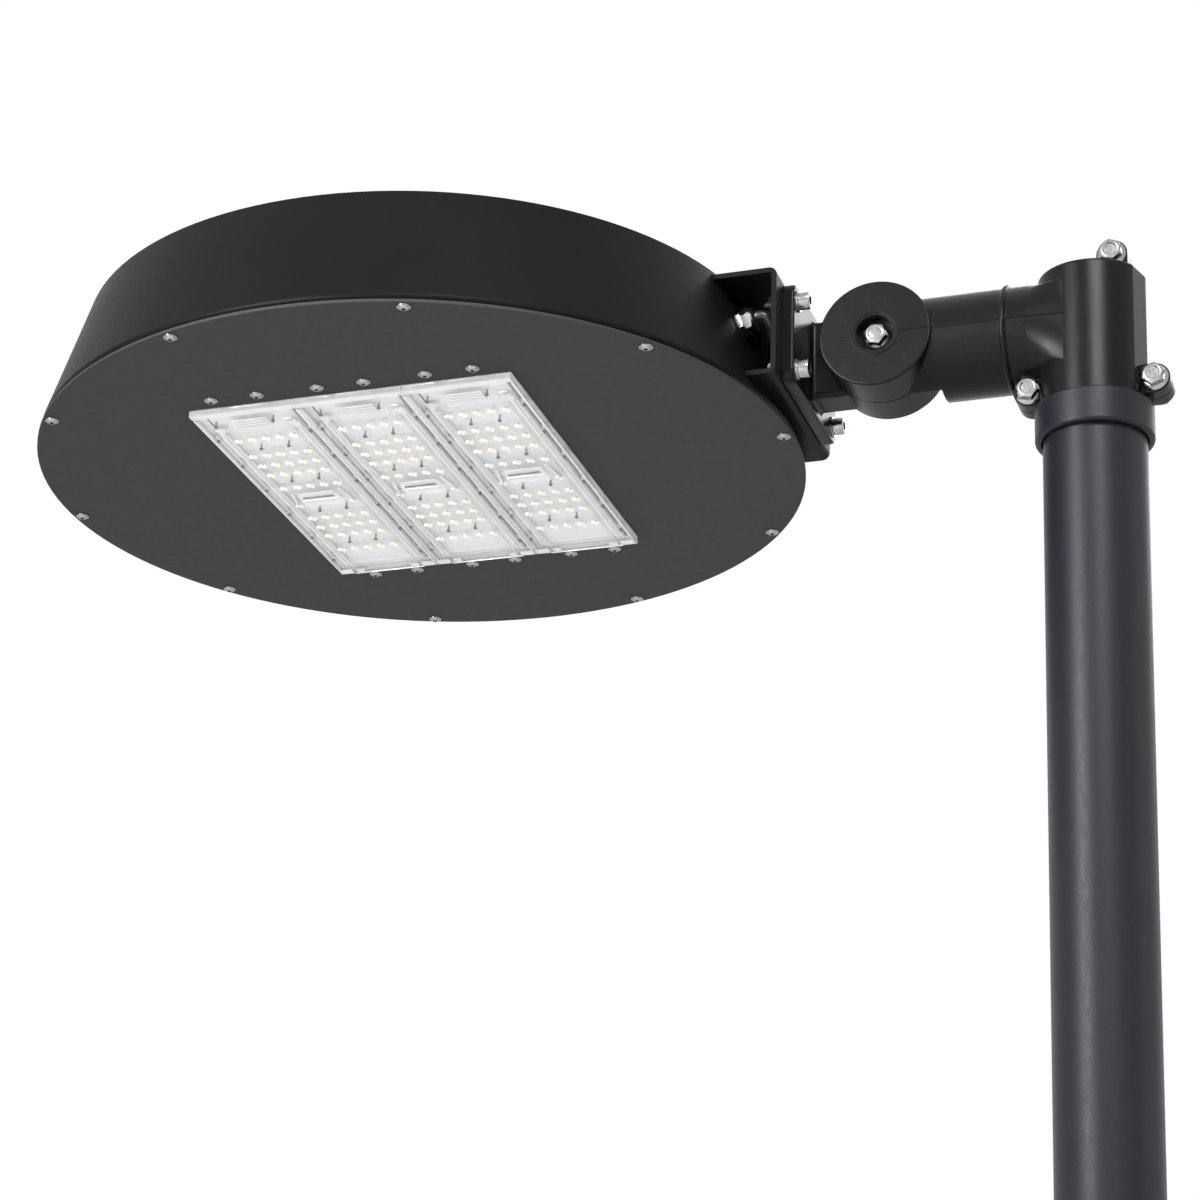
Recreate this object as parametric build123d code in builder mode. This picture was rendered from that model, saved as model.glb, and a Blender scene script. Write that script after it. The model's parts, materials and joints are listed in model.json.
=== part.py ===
from build123d import *
import math
import os

os.makedirs("parts", exist_ok=True)

# An LED street light on the top section of its pole. Millimetres, +Z up.
# The origin is the centre of the pole's lower end, and the luminaire hangs out along -X.

# Pole section with a narrower spigot on top, and the trim collar that covers the step
POLE_LENGTH = 605.0
POLE_OD = 76.0
POLE_WALL = 3.0
TENON_OD = 60.0
TENON_WALL = 4.0
TENON_RISE = 80.0
TENON_INSET = 70.0
TENON_RING = 4.0
TENON_RING_CLEAR = 0.1
COLLAR_OD = 87.0
COLLAR_BORE = 78.4
COLLAR_HEIGHT = 27.0
COLLAR_LIP = 3.0
COLLAR_EDGE = 1.2
COLLAR_FOOT = 2.6

# Slip fitter: the casting that grips the spigot and carries the arm
SOCKET_GAP = 1.0
SOCKET_OD = 80.0
SOCKET_HEIGHT = 104.0
SOCKET_TOP_WALL = 6.0
SOCKET_EDGE = 2.0
TENON_CLEAR = 0.08
TENON_HEADROOM = 3.0
CHAMBER_R = 22.0
SPLIT_GAP = 1.0
PAD_REACH = 39.5
PAD_DRAFT = 15.0
EAR_OFFSET = 46.0
EAR_HEIGHT = 14.5
EAR_RADIUS = 11.5
EAR_THICK = 11.0
SPOT_D = 22.0
TOP_EAR_X = 17.0
TOP_EAR_RISE = 15.0
ARM_OD = 80.0
ARM_WALL = 5.0
ARM_AXIS_RISE = 63.0
BLOCK_WIDTH = 76.0
BLOCK_DROP = 40.0
BLOCK_RISE = 30.0
BLOCK_ROUND = 2.5
BLOCK_START = 42.0
BLOCK_END = 15.0
BLOCK_CREASE = 30.0
CAP_CLEAR = 1.0
CAP_ROOF_REACH = 25.0
BAND_OFFSET = 60.0
BAND_ROUND = 2.2
SEAM_WIDTH = 1.6
SEAM_HEIGHT = 0.7
SEAM_ROOT = 2.0

# Knuckle: two discs clamped face to face by one bolt, with radial teeth between them
KNUCKLE_REACH = 155.0
KNUCKLE_R = 42.5
KNUCKLE_EDGE = 1.5
FRONT_FACE = 42.0
FRONT_THICK = 31.0
RIM_GAP = 1.0
REAR_THICK = 31.0
CRADLE_CLEAR = 1.5
END_WALL = 5.0
TOOTH_COUNT = 60
TOOTH_R_IN = 20.0
TOOTH_R_OUT = 37.0
TOOTH_HEIGHT = 0.35
TOOTH_FILL = 0.86
TOOTH_ROOT = 0.5
HEAD_WELL_D = 29.0
HEAD_WELL_DEPTH = 10.0
RING_SHELF = 1.6
RING_WIDTH = 2.2
RING_HEIGHT = 0.7
INDEX_COUNT = 3
INDEX_LENGTH = 10.0
INDEX_BASE = 4.0
INDEX_TIP = 1.6

# Hexagon flange bolts and nuts, M10, of the clamp and the pivot
BOLT_D = 10.0
BOLT_HOLE = 10.6
PIVOT_CLEAR = 0.05
FLANGE_D = 20.8
FLANGE_T = 2.4
HEX_AF = 15.0
HEX_H = 7.6
NUT_FLANGE_D = 20.0
NUT_H = 9.0
NUT_AF = 15.0
BOLT_TAIL = 2.0
PIVOT_NUT_GAP = 0.3

# Neck and flange that carry the luminaire
FLANGE_X = 220.0
FLANGE_T_PLATE = 9.0
FLANGE_WIDTH = 126.0
FLANGE_HEIGHT = 81.0
FLANGE_ROUND = 9.0
FLANGE_EDGE = 2.0
NECK_HEIGHT = 64.0
NECK_ROUND = 4.0
NECK_COVE = 3.0
WIRE_WAY = 18.0
WIRE_WAY_DEPTH = 40.0
CAP_SCREW_Y = 52.0
CAP_SCREW_Z = 28.0
CAP_SCREW_D = 8.0
CAP_SCREW_HOLE = 9.0
CAP_HEAD_D = 13.0
CAP_HEAD_H = 8.0
CAP_KEY_AF = 6.0
CAP_KEY_DEPTH = 4.0
CAP_SCREW_TAIL = 4.0
WASHER_OD = 16.0
WASHER_T = 1.6
HEX_NUT_AF = 13.0
HEX_NUT_H = 6.5

# Side bracket, a channel folded from sheet
BRACKET_T = 4.0
BRACKET_LENGTH = 160.0
BRACKET_HEIGHT = 87.0
BRACKET_DROP = 42.0
BRACKET_BEND = 6.0

# Luminaire: a shallow tapered drum closed by a flat plate from below
REACH = 528.0
PLATE_DROP = 56.0
DRUM_R = 300.0
DRUM_TOP_R = 268.0
DRUM_HEIGHT = 103.0
DRUM_T = 2.0
DRUM_SHOULDER = 4.0
RIM_WIDTH = 13.0
RIM_T = 5.0
PLATE_T = 2.0
GASKET_T = 1.0
GASKET_WIDTH = 11.0
COVER_SCREWS = 10
COVER_SCREW_R = 293.0
M4 = 4.0
THREAD_CLEAR = 0.1
M4_HEAD_D = 8.0
M4_HEAD_H = 2.4

# Three LED modules side by side in one window of the plate
MODULES = 3
MODULE_WIDTH = 85.4
MODULE_GAP = 0.4
MODULE_LENGTH = 317.0
WINDOW_CLEAR = 1.0
LENS_PROUD = 4.0
LENS_SKIRT = 8.0
LENS_FACE = 2.2
LENS_TOP = 1.0
SEAL_WIDTH = 1.4
BOARD_T = 1.6
BOARD_WIDTH = 68.0
BOARD_LENGTH = 300.0
CHIP = 3.0
CHIP_T = 0.7
ROWS = [-108.0, -79.0, -61.0, -43.0, -17.0, 17.0, 43.0, 61.0, 79.0, 108.0]
COLUMNS = 5
COLUMN_PITCH = 11.4
OPTIC_D = 8.6
OPTIC_RISE = 1.3
OPTIC_TAPER = 40.0
RAIL_WIDTH = 7.0
RAIL_RISE = 1.0
RAIL_LENGTH = 262.0
RAIL_X = 31.0
BRIDGE_WIDTH = 40.0
BRIDGE_LENGTH = 28.0
BRIDGE_Y = 6.0
BRIDGE_RISE = 3.0
SIDE_SCREWS = 6
SIDE_SCREW_PITCH = 48.0
SIDE_SCREW_SHIFT = 8.0
SIDE_SCREW_X = 38.2
M3 = 3.0
M3_HEAD_D = 5.0
M3_HEAD_H = 1.2
SINK_BASE = 5.0
SINK_LENGTH = 366.0
FIN_HEIGHT = 24.0
FIN_T = 2.0
FIN_PITCH = 9.0
FINS = 9
FIN_LENGTH = 296.0
MODULE_SCREW_Y = 172.5
MODULE_SCREW_X = 18.6
MODULE_SCREW_TAIL = 1.5

# Electrical gear hung under the drum's top
TRAY_LENGTH = 320.0
TRAY_WIDTH = 96.0
TRAY_T = 1.5
TRAY_LIP = 12.0
TRAY_X = -30.0
STUD_D = 4.0
STUD_X = 130.0
STUD_Y = 38.0
STUD_TAIL = 6.0
TRAY_NUT_AF = 7.0
TRAY_NUT_H = 3.2
DRIVER_LENGTH = 168.0
DRIVER_WIDTH = 61.0
DRIVER_HEIGHT = 38.0
DRIVER_EAR = 14.0
DRIVER_EAR_T = 3.0
DRIVER_X = -60.0
SURGE_SIZE = (44.0, 32.0, 26.0)
SURGE_X = 64.0
TERMINAL_SIZE = (26.0, 44.0, 18.0)
TERMINAL_X = 106.0

# Cable gland in the drum's side, and the supply cable that crosses to the flange
GLAND_Y = -58.0
GLAND_RISE = 64.0
GLAND_THREAD_D = 13.0
GLAND_AF = 16.0
GLAND_BODY_H = 4.0
GLAND_CAP_H = 8.0
GLAND_NUT_H = 4.0
GLAND_TAIL = 6.0
LOCK_NUT_GAP = 0.3
GLAND_WASHER_T = 1.2
CABLE_D = 8.0
CABLE_CLEAR = 0.1
CABLE_LANE = 14.0
CABLE_LEAD = 50.0
CABLE_INNER_RUN = 41.0
CABLE_OUTER_RUN = 21.0
GROMMET_LIP = 2.0
GROMMET_LIP_T = 1.2

# Levels and places worked out from the sizes above
collar_top = POLE_LENGTH + TENON_RING + COLLAR_LIP
socket_bottom = collar_top + SOCKET_GAP
socket_top = socket_bottom + SOCKET_HEIGHT
bore_top = POLE_LENGTH + TENON_RING + TENON_RISE + TENON_HEADROOM
chamber_top = socket_top - SOCKET_TOP_WALL
arm_z = socket_bottom + ARM_AXIS_RISE
ear_z = socket_bottom + EAR_HEIGHT
top_ear_z = socket_top + TOP_EAR_RISE
plate_z = arm_z - PLATE_DROP
shell_z = plate_z + PLATE_T + GASKET_T
drum_top_z = shell_z + DRUM_HEIGHT
split_half = SPLIT_GAP / 2
front_mate = FRONT_FACE - FRONT_THICK
rear_mate = front_mate - RIM_GAP
rear_face = rear_mate - REAR_THICK
neck_y = (rear_mate + rear_face) / 2

# Each ear's centre in X and Z, seen from the side where the bolt heads are
ears = [(-EAR_OFFSET, ear_z), (EAR_OFFSET, ear_z), (TOP_EAR_X, top_ear_z)]


def write(piece, name):
    """Labels a finished piece and writes it as its own file."""
    piece.part.label = name
    export_step(piece.part, f"parts/{name}.step")


def facing_front(x, y, z):
    """A plane square to Y at a point, whose normal looks to -Y and whose own y is up."""
    return Plane(origin=(x, y, z), x_dir=(1, 0, 0), z_dir=(0, -1, 0))


def facing_back(x, y, z):
    """A plane square to Y at a point, whose normal looks to +Y and whose own y is up."""
    return Plane(origin=(x, y, z), x_dir=(-1, 0, 0), z_dir=(0, 1, 0))


def drum_radius(rise):
    """The drum's outer radius at a height above its lower rim."""
    return DRUM_R - (DRUM_R - DRUM_TOP_R) * rise / DRUM_HEIGHT


# Pole tube
with BuildPart() as pole_tube:
    with BuildSketch():
        Circle(POLE_OD / 2)
        Circle(POLE_OD / 2 - POLE_WALL, mode=Mode.SUBTRACT)
    extrude(amount=POLE_LENGTH)
write(pole_tube, "pole_tube")

# Spigot tube with the ring that stands on the pole's end and a guide ring inside it
with BuildPart() as pole_tenon:
    with BuildSketch(Plane.XY.offset(POLE_LENGTH - TENON_INSET)):
        Circle(TENON_OD / 2)
    extrude(amount=TENON_INSET + TENON_RING + TENON_RISE)
    with BuildSketch(Plane.XY.offset(POLE_LENGTH)):
        Circle(POLE_OD / 2)
    extrude(amount=TENON_RING)
    with BuildSketch(Plane.XY.offset(POLE_LENGTH - TENON_INSET)):
        Circle(POLE_OD / 2 - POLE_WALL - TENON_RING_CLEAR)
    extrude(amount=TENON_RING)
    with BuildSketch(Plane.XY.offset(POLE_LENGTH - TENON_INSET)):
        Circle(TENON_OD / 2 - TENON_WALL)
    extrude(amount=TENON_INSET + TENON_RING + TENON_RISE, mode=Mode.SUBTRACT)
    chamfer(pole_tenon.edges().group_by(Axis.Z)[-1].sort_by(SortBy.RADIUS)[-1], length=1.5)
write(pole_tenon, "pole_tenon")

# Collar: a turned cap ring whose lip lies on the spigot's ring
with BuildPart() as pole_collar:
    with BuildSketch(Plane.XY.offset(collar_top - COLLAR_HEIGHT)):
        Circle(COLLAR_OD / 2)
    extrude(amount=COLLAR_HEIGHT)
    fillet(pole_collar.edges().group_by(Axis.Z)[-1], radius=COLLAR_EDGE)
    fillet(pole_collar.edges().group_by(Axis.Z)[0], radius=COLLAR_FOOT)
    with BuildSketch(Plane.XY.offset(collar_top - COLLAR_HEIGHT)):
        Circle(COLLAR_BORE / 2)
    extrude(amount=COLLAR_HEIGHT - COLLAR_LIP, mode=Mode.SUBTRACT)
    with BuildSketch(Plane.XY.offset(collar_top - COLLAR_LIP)):
        Circle(TENON_OD / 2 + COLLAR_EDGE)
    extrude(amount=COLLAR_LIP, mode=Mode.SUBTRACT)
write(pole_collar, "pole_collar")


def socket_solid():
    """The socket's outside, with two drafted flats that meet at the split, before it is split."""
    radius = SOCKET_OD / 2
    flat_run = radius * math.tan(math.radians(PAD_DRAFT))
    with BuildSketch(Plane.XY.offset(socket_bottom)) as outline:
        Circle(radius)
        for side in (-radius, radius):
            with BuildLine():
                Polyline(
                    (PAD_REACH, 0),
                    (PAD_REACH - flat_run, side),
                    (SOCKET_OD, side),
                    (SOCKET_OD, 0),
                    close=True,
                )
            make_face(mode=Mode.SUBTRACT)
    extrude(outline.sketch, amount=SOCKET_HEIGHT)
    fillet(edges().group_by(Axis.Z)[-1], radius=SOCKET_EDGE)


def ear_solids(y_from, amount):
    """Three bolt ears on one half: two beside the lower end and one over the top."""
    with BuildSketch(facing_front(0, y_from, 0)) as outline:
        for x, z in ears[:2]:
            with Locations((x, z)):
                Circle(EAR_RADIUS)
            with Locations((x - math.copysign(EAR_OFFSET / 4, x), z)):
                Rectangle(EAR_OFFSET / 2, 2 * EAR_RADIUS)
        with Locations((TOP_EAR_X, top_ear_z)):
            Circle(EAR_RADIUS)
        with Locations((TOP_EAR_X, top_ear_z - (TOP_EAR_RISE + SOCKET_EDGE * 2) / 2)):
            Rectangle(2 * EAR_RADIUS, TOP_EAR_RISE + SOCKET_EDGE * 2)
    extrude(outline.sketch, amount=amount)


def clamp_holes():
    """The bore and the chamber over it, the three bolt holes and the spot faces round them."""
    with BuildSketch(Plane.XY.offset(socket_bottom)) as outline:
        Circle(TENON_OD / 2 + TENON_CLEAR)
    extrude(outline.sketch, amount=bore_top - socket_bottom, mode=Mode.SUBTRACT)
    with BuildSketch(Plane.XY.offset(bore_top)) as outline:
        Circle(CHAMBER_R)
    extrude(outline.sketch, amount=chamber_top - bore_top, mode=Mode.SUBTRACT)
    with BuildSketch(facing_front(0, -FRONT_FACE, 0)) as outline:
        with Locations(*ears):
            Circle(BOLT_HOLE / 2)
    extrude(outline.sketch, amount=-2 * FRONT_FACE, mode=Mode.SUBTRACT)
    for face in (facing_front(0, -split_half - EAR_THICK, 0), facing_back(0, split_half + EAR_THICK, 0)):
        with BuildSketch(face) as outline:
            for x, z in ears:
                with Locations((x * face.x_dir.X, z)):
                    Circle(SPOT_D / 2)
        extrude(outline.sketch, amount=FRONT_FACE, mode=Mode.SUBTRACT)


def flange_bolt(seat, length):
    """A hexagon flange bolt on a plane: its head stands along the normal, its shank behind."""
    with BuildSketch(seat) as outline:
        Circle(FLANGE_D / 2)
    extrude(outline.sketch, amount=FLANGE_T)
    with BuildSketch(seat.offset(FLANGE_T)) as outline:
        RegularPolygon(HEX_AF / 2, 6, major_radius=False)
    extrude(outline.sketch, amount=HEX_H)
    with BuildSketch(seat) as outline:
        Circle(BOLT_D / 2)
    extrude(outline.sketch, amount=-length)


def flange_nut(seat):
    """A hexagon flange nut on a plane, standing along the normal."""
    with BuildSketch(seat) as outline:
        Circle(NUT_FLANGE_D / 2)
        Circle(BOLT_D / 2 + PIVOT_CLEAR, mode=Mode.SUBTRACT)
    extrude(outline.sketch, amount=FLANGE_T)
    with BuildSketch(seat.offset(FLANGE_T)) as outline:
        RegularPolygon(NUT_AF / 2, 6, major_radius=False)
        Circle(BOLT_D / 2 + PIVOT_CLEAR, mode=Mode.SUBTRACT)
    extrude(outline.sketch, amount=NUT_H - FLANGE_T)


def headed_screw(seat, head_d, head_h, shank_d, length):
    """A round-headed screw on a plane: its head stands along the normal, its shank behind."""
    with BuildSketch(seat) as outline:
        Circle(head_d / 2)
    extrude(outline.sketch, amount=head_h)
    with BuildSketch(seat) as outline:
        Circle(shank_d / 2)
    extrude(outline.sketch, amount=-length)


# One radial tooth of the knuckle, rising along +Z, tapered towards the centre
with BuildPart() as tooth:
    for radius in (TOOTH_R_IN, TOOTH_R_OUT):
        half = radius * math.tan(math.pi / TOOTH_COUNT) * TOOTH_FILL
        with BuildSketch(Plane.YZ.offset(radius)):
            Polygon(
                (-half, -TOOTH_ROOT), (half, -TOOTH_ROOT), (half, 0), (0, TOOTH_HEIGHT), (-half, 0),
                align=None,
            )
    loft(ruled=True)


def tooth_ring(y, outward):
    """A full ring of teeth on a knuckle face, pointing along Y by the sign given."""
    face = Plane(origin=(-KNUCKLE_REACH, y, arm_z), x_dir=(1, 0, 0), z_dir=(0, outward, 0))
    with Locations(face):
        with PolarLocations(0, TOOTH_COUNT):
            add(tooth.part)


# Slip fitter: front half of the clamp, arm tube and front half of the knuckle in one casting
with BuildPart() as slipfitter_arm:
    socket_solid()
    split(bisect_by=Plane.XZ.offset(split_half), keep=Keep.TOP)
    ear_solids(-split_half, EAR_THICK)
    # arm tube, and its round-to-square block against the socket
    with BuildSketch(Plane.YZ.offset(-KNUCKLE_REACH)):
        with Locations((0, arm_z)):
            Circle(ARM_OD / 2)
    extrude(amount=KNUCKLE_REACH - BLOCK_START)
    with BuildSketch(Plane.YZ.offset(-BLOCK_START)):
        with BuildLine():
            for quarter in range(0, 360, 90):
                CenterArc((0, arm_z), ARM_OD / 2, quarter - BLOCK_CREASE, 2 * BLOCK_CREASE)
                CenterArc((0, arm_z), ARM_OD / 2, quarter + BLOCK_CREASE, 90 - 2 * BLOCK_CREASE)
        make_face()
    with BuildSketch(Plane.YZ.offset(-BLOCK_END)):
        with Locations((0, arm_z + (BLOCK_RISE - BLOCK_DROP) / 2)):
            RectangleRounded(BLOCK_WIDTH, BLOCK_RISE + BLOCK_DROP, BLOCK_ROUND)
    loft(ruled=True)
    # half-round bead moulded round the arm
    with Locations(Plane(origin=(-BAND_OFFSET, 0, arm_z), z_dir=(1, 0, 0))):
        Torus(ARM_OD / 2, BAND_ROUND)
    # room for the other knuckle half, then the front disc itself
    cradle = KNUCKLE_R + CRADLE_CLEAR
    with BuildSketch(facing_front(-KNUCKLE_REACH, -front_mate, arm_z)):
        Rectangle(2 * cradle, 2 * ARM_OD)
    extrude(amount=-front_mate - ARM_OD, mode=Mode.SUBTRACT)
    with BuildSketch(facing_front(-KNUCKLE_REACH, -front_mate, arm_z)):
        Circle(KNUCKLE_R)
    extrude(amount=FRONT_THICK)
    rim = edges().filter_by(GeomType.CIRCLE).filter_by_position(Axis.Y, -FRONT_FACE, -FRONT_FACE)
    fillet(rim.sort_by(SortBy.RADIUS)[-1], radius=KNUCKLE_EDGE)
    # raised ring round the bolt's well, with three tapered index ridges
    ring_in = HEAD_WELL_D / 2 + RING_SHELF
    with BuildSketch(facing_front(-KNUCKLE_REACH, -FRONT_FACE, arm_z)):
        Circle(ring_in + RING_WIDTH)
        with PolarLocations(ring_in, INDEX_COUNT, start_angle=90, angular_range=180, endpoint=True):
            Polygon(
                (0, -INDEX_BASE / 2), (INDEX_LENGTH, -INDEX_TIP / 2), (INDEX_LENGTH, INDEX_TIP / 2),
                (0, INDEX_BASE / 2), align=None,
            )
        Circle(ring_in, mode=Mode.SUBTRACT)
    extrude(amount=RING_HEIGHT)
    # moulding seam from the ring over the disc and along the arm to the block's end
    with BuildSketch(Plane.XY.offset(arm_z - SEAM_WIDTH / 2)):
        with BuildLine():
            Polyline(
                (ring_in - KNUCKLE_REACH + RING_WIDTH / 2, -FRONT_FACE - SEAM_HEIGHT),
                (KNUCKLE_R - KNUCKLE_REACH - KNUCKLE_EDGE, -FRONT_FACE - SEAM_HEIGHT),
                (KNUCKLE_R - KNUCKLE_REACH + KNUCKLE_EDGE, -ARM_OD / 2 - SEAM_HEIGHT),
                (-BLOCK_START, -ARM_OD / 2 - SEAM_HEIGHT),
                (-BLOCK_END, -BLOCK_WIDTH / 2 - SEAM_HEIGHT),
                (-BLOCK_END, -BLOCK_WIDTH / 2 + SEAM_ROOT),
                (ring_in - KNUCKLE_REACH + RING_WIDTH / 2, -BLOCK_WIDTH / 2 + SEAM_ROOT),
                close=True,
            )
        make_face()
    extrude(amount=SEAM_WIDTH)
    tooth_ring(-front_mate, 1)
    # hollow of the arm, bore of the clamp, pivot hole and the well of the pivot bolt's head
    with BuildSketch(Plane.YZ.offset(-KNUCKLE_REACH + cradle + END_WALL)):
        with Locations((0, arm_z)):
            Circle(ARM_OD / 2 - ARM_WALL)
    extrude(amount=KNUCKLE_REACH - cradle - END_WALL - BLOCK_START, mode=Mode.SUBTRACT)
    with BuildSketch(Plane.YZ.offset(-BLOCK_START)):
        with Locations((0, arm_z)):
            Circle(BLOCK_RISE - ARM_WALL)
    extrude(amount=BLOCK_START - BLOCK_END, mode=Mode.SUBTRACT)
    clamp_holes()
    with BuildSketch(facing_front(-KNUCKLE_REACH, -FRONT_FACE, arm_z)):
        Circle(HEAD_WELL_D / 2)
    extrude(amount=-HEAD_WELL_DEPTH, mode=Mode.SUBTRACT)
    with BuildSketch(facing_front(-KNUCKLE_REACH, -FRONT_FACE, arm_z)):
        Circle(BOLT_HOLE / 2)
    extrude(amount=-FRONT_THICK, mode=Mode.SUBTRACT)
write(slipfitter_arm, "slipfitter_arm")

# Rear half of the clamp, cut away where the arm's block comes through
with BuildPart() as clamp_cap:
    socket_solid()
    split(bisect_by=Plane.XZ.offset(-split_half), keep=Keep.BOTTOM)
    ear_solids(split_half, -EAR_THICK)
    clamp_holes()
    arm_low = arm_z - BLOCK_DROP - CAP_CLEAR
    with BuildSketch(facing_front(0, 0, 0)):
        with Locations((-BLOCK_END + CAP_CLEAR - SOCKET_OD / 2, (arm_low + chamber_top) / 2)):
            Rectangle(SOCKET_OD, chamber_top - arm_low)
        with Locations((-CAP_ROOF_REACH - SOCKET_OD / 2, chamber_top)):
            Rectangle(SOCKET_OD, 4 * SOCKET_TOP_WALL)
    extrude(amount=-SOCKET_OD, mode=Mode.SUBTRACT)
write(clamp_cap, "clamp_cap")

# Clamp bolts from the front, nuts behind
with BuildPart() as clamp_bolts:
    for x, z in ears:
        seat = facing_front(x, -split_half - EAR_THICK, z)
        flange_bolt(seat, 2 * (split_half + EAR_THICK) + NUT_H + BOLT_TAIL)
write(clamp_bolts, "clamp_bolts")

with BuildPart() as clamp_nuts:
    for x, z in ears:
        flange_nut(facing_back(x, split_half + EAR_THICK, z))
write(clamp_nuts, "clamp_nuts")

# Pivot bolt and its nut, which runs just off the seat in the rear half while the joint is slack
pivot_seat = FRONT_FACE - HEAD_WELL_DEPTH
pivot_nut_y = HEAD_WELL_DEPTH + rear_face - PIVOT_NUT_GAP
with BuildPart() as pivot_bolt:
    flange_bolt(
        facing_front(-KNUCKLE_REACH, -pivot_seat, arm_z), pivot_seat - pivot_nut_y + NUT_H + BOLT_TAIL
    )
write(pivot_bolt, "pivot_bolt")

with BuildPart() as pivot_nut:
    flange_nut(facing_back(-KNUCKLE_REACH, -pivot_nut_y, arm_z))
write(pivot_nut, "pivot_nut")

# Rear knuckle disc, neck and flange in one casting
flange_out = -FLANGE_X + FLANGE_T_PLATE
with BuildPart() as knuckle_flange:
    with BuildSketch(facing_front(-KNUCKLE_REACH, -rear_mate, arm_z)):
        Circle(KNUCKLE_R)
    extrude(amount=-REAR_THICK)
    fillet(edges().group_by(Axis.Y)[-1], radius=KNUCKLE_EDGE)
    with BuildSketch(Plane.YZ.offset(-FLANGE_X)):
        with Locations((0, arm_z)):
            RectangleRounded(FLANGE_WIDTH, FLANGE_HEIGHT, FLANGE_ROUND)
    extrude(amount=FLANGE_T_PLATE)
    fillet(edges().filter_by_position(Axis.X, flange_out, flange_out), radius=FLANGE_EDGE)
    with BuildSketch(Plane.YZ.offset(flange_out)):
        with Locations((-neck_y, arm_z)):
            RectangleRounded(REAR_THICK, NECK_HEIGHT, NECK_ROUND)
    extrude(amount=-flange_out - KNUCKLE_REACH)
    neck_foot = edges().filter_by_position(Axis.X, flange_out, flange_out)
    neck_foot = neck_foot.filter_by_position(Axis.Y, -neck_y - REAR_THICK / 2, -neck_y + REAR_THICK / 2)
    neck_foot = neck_foot.filter_by_position(Axis.Z, arm_z - NECK_HEIGHT / 2, arm_z + NECK_HEIGHT / 2)
    fillet(neck_foot, radius=NECK_COVE)
    tooth_ring(-rear_mate, -1)
    with BuildSketch(Plane.YZ.offset(-FLANGE_X)):
        with Locations((0, arm_z)):
            with GridLocations(2 * CAP_SCREW_Y, 2 * CAP_SCREW_Z, 2, 2):
                Circle(CAP_SCREW_HOLE / 2)
    extrude(amount=FLANGE_T_PLATE, mode=Mode.SUBTRACT)
    with BuildSketch(Plane.YZ.offset(-FLANGE_X)):
        with Locations((-neck_y, arm_z)):
            Circle(WIRE_WAY / 2)
    extrude(amount=WIRE_WAY_DEPTH, mode=Mode.SUBTRACT)
    with BuildSketch(facing_back(-KNUCKLE_REACH, -rear_face, arm_z)):
        Circle(HEAD_WELL_D / 2)
    extrude(amount=-HEAD_WELL_DEPTH, mode=Mode.SUBTRACT)
    with BuildSketch(facing_back(-KNUCKLE_REACH, -rear_face, arm_z)):
        Circle(BOLT_D / 2 + PIVOT_CLEAR)
    extrude(amount=-REAR_THICK - TOOTH_HEIGHT, mode=Mode.SUBTRACT)
write(knuckle_flange, "knuckle_flange")

# Side bracket: a folded channel whose plates are cut to the drum's taper
web_in = -FLANGE_X - BRACKET_T
channel_mid = arm_z - BRACKET_DROP + BRACKET_HEIGHT / 2
with BuildPart() as side_bracket:
    with BuildSketch(Plane.XZ):
        with Locations((-FLANGE_X - BRACKET_LENGTH / 4, channel_mid)):
            Rectangle(BRACKET_LENGTH / 2, BRACKET_HEIGHT)
        fillet(vertices().group_by(Axis.X)[-1], radius=BRACKET_BEND)
        with Locations((web_in - BRACKET_LENGTH / 4, channel_mid)):
            Rectangle(BRACKET_LENGTH / 2, BRACKET_HEIGHT - 2 * BRACKET_T, mode=Mode.SUBTRACT)
    extrude(amount=BRACKET_LENGTH / 2, both=True)
    with Locations((-REACH, 0, shell_z)):
        Cone(
            DRUM_R, DRUM_TOP_R, DRUM_HEIGHT,
            align=(Align.CENTER, Align.CENTER, Align.MIN), mode=Mode.SUBTRACT,
        )
    with BuildSketch(Plane.YZ.offset(web_in - BRACKET_T)):
        with Locations((0, arm_z)):
            with GridLocations(2 * CAP_SCREW_Y, 2 * CAP_SCREW_Z, 2, 2):
                Circle(CAP_SCREW_HOLE / 2)
        with Locations((-neck_y, arm_z)):
            Circle(WIRE_WAY / 2)
    extrude(amount=3 * BRACKET_T, mode=Mode.SUBTRACT)
write(side_bracket, "side_bracket")

# Flange fastening: socket-head screws outside, washers and nuts inside the channel
flange_places = [(y, z) for y in (-CAP_SCREW_Y, CAP_SCREW_Y) for z in (-CAP_SCREW_Z, CAP_SCREW_Z)]
clamped = FLANGE_T_PLATE + BRACKET_T
with BuildPart() as flange_screws:
    for y, z in flange_places:
        seat = Plane(origin=(flange_out + WASHER_T, y, arm_z + z), z_dir=(1, 0, 0))
        length = clamped + 2 * WASHER_T + HEX_NUT_H + CAP_SCREW_TAIL
        headed_screw(seat, CAP_HEAD_D, CAP_HEAD_H, CAP_SCREW_D, length)
        with BuildSketch(seat.offset(CAP_HEAD_H)):
            RegularPolygon(CAP_KEY_AF / 2, 6, major_radius=False)
        extrude(amount=-CAP_KEY_DEPTH, mode=Mode.SUBTRACT)
write(flange_screws, "flange_screws")

with BuildPart() as flange_washers:
    for face in (web_in - WASHER_T, flange_out):
        with BuildSketch(Plane.YZ.offset(face)):
            with Locations((0, arm_z)):
                with GridLocations(2 * CAP_SCREW_Y, 2 * CAP_SCREW_Z, 2, 2):
                    Circle(WASHER_OD / 2)
                    Circle(CAP_SCREW_D / 2 + PIVOT_CLEAR, mode=Mode.SUBTRACT)
        extrude(amount=WASHER_T)
write(flange_washers, "flange_washers")

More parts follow.
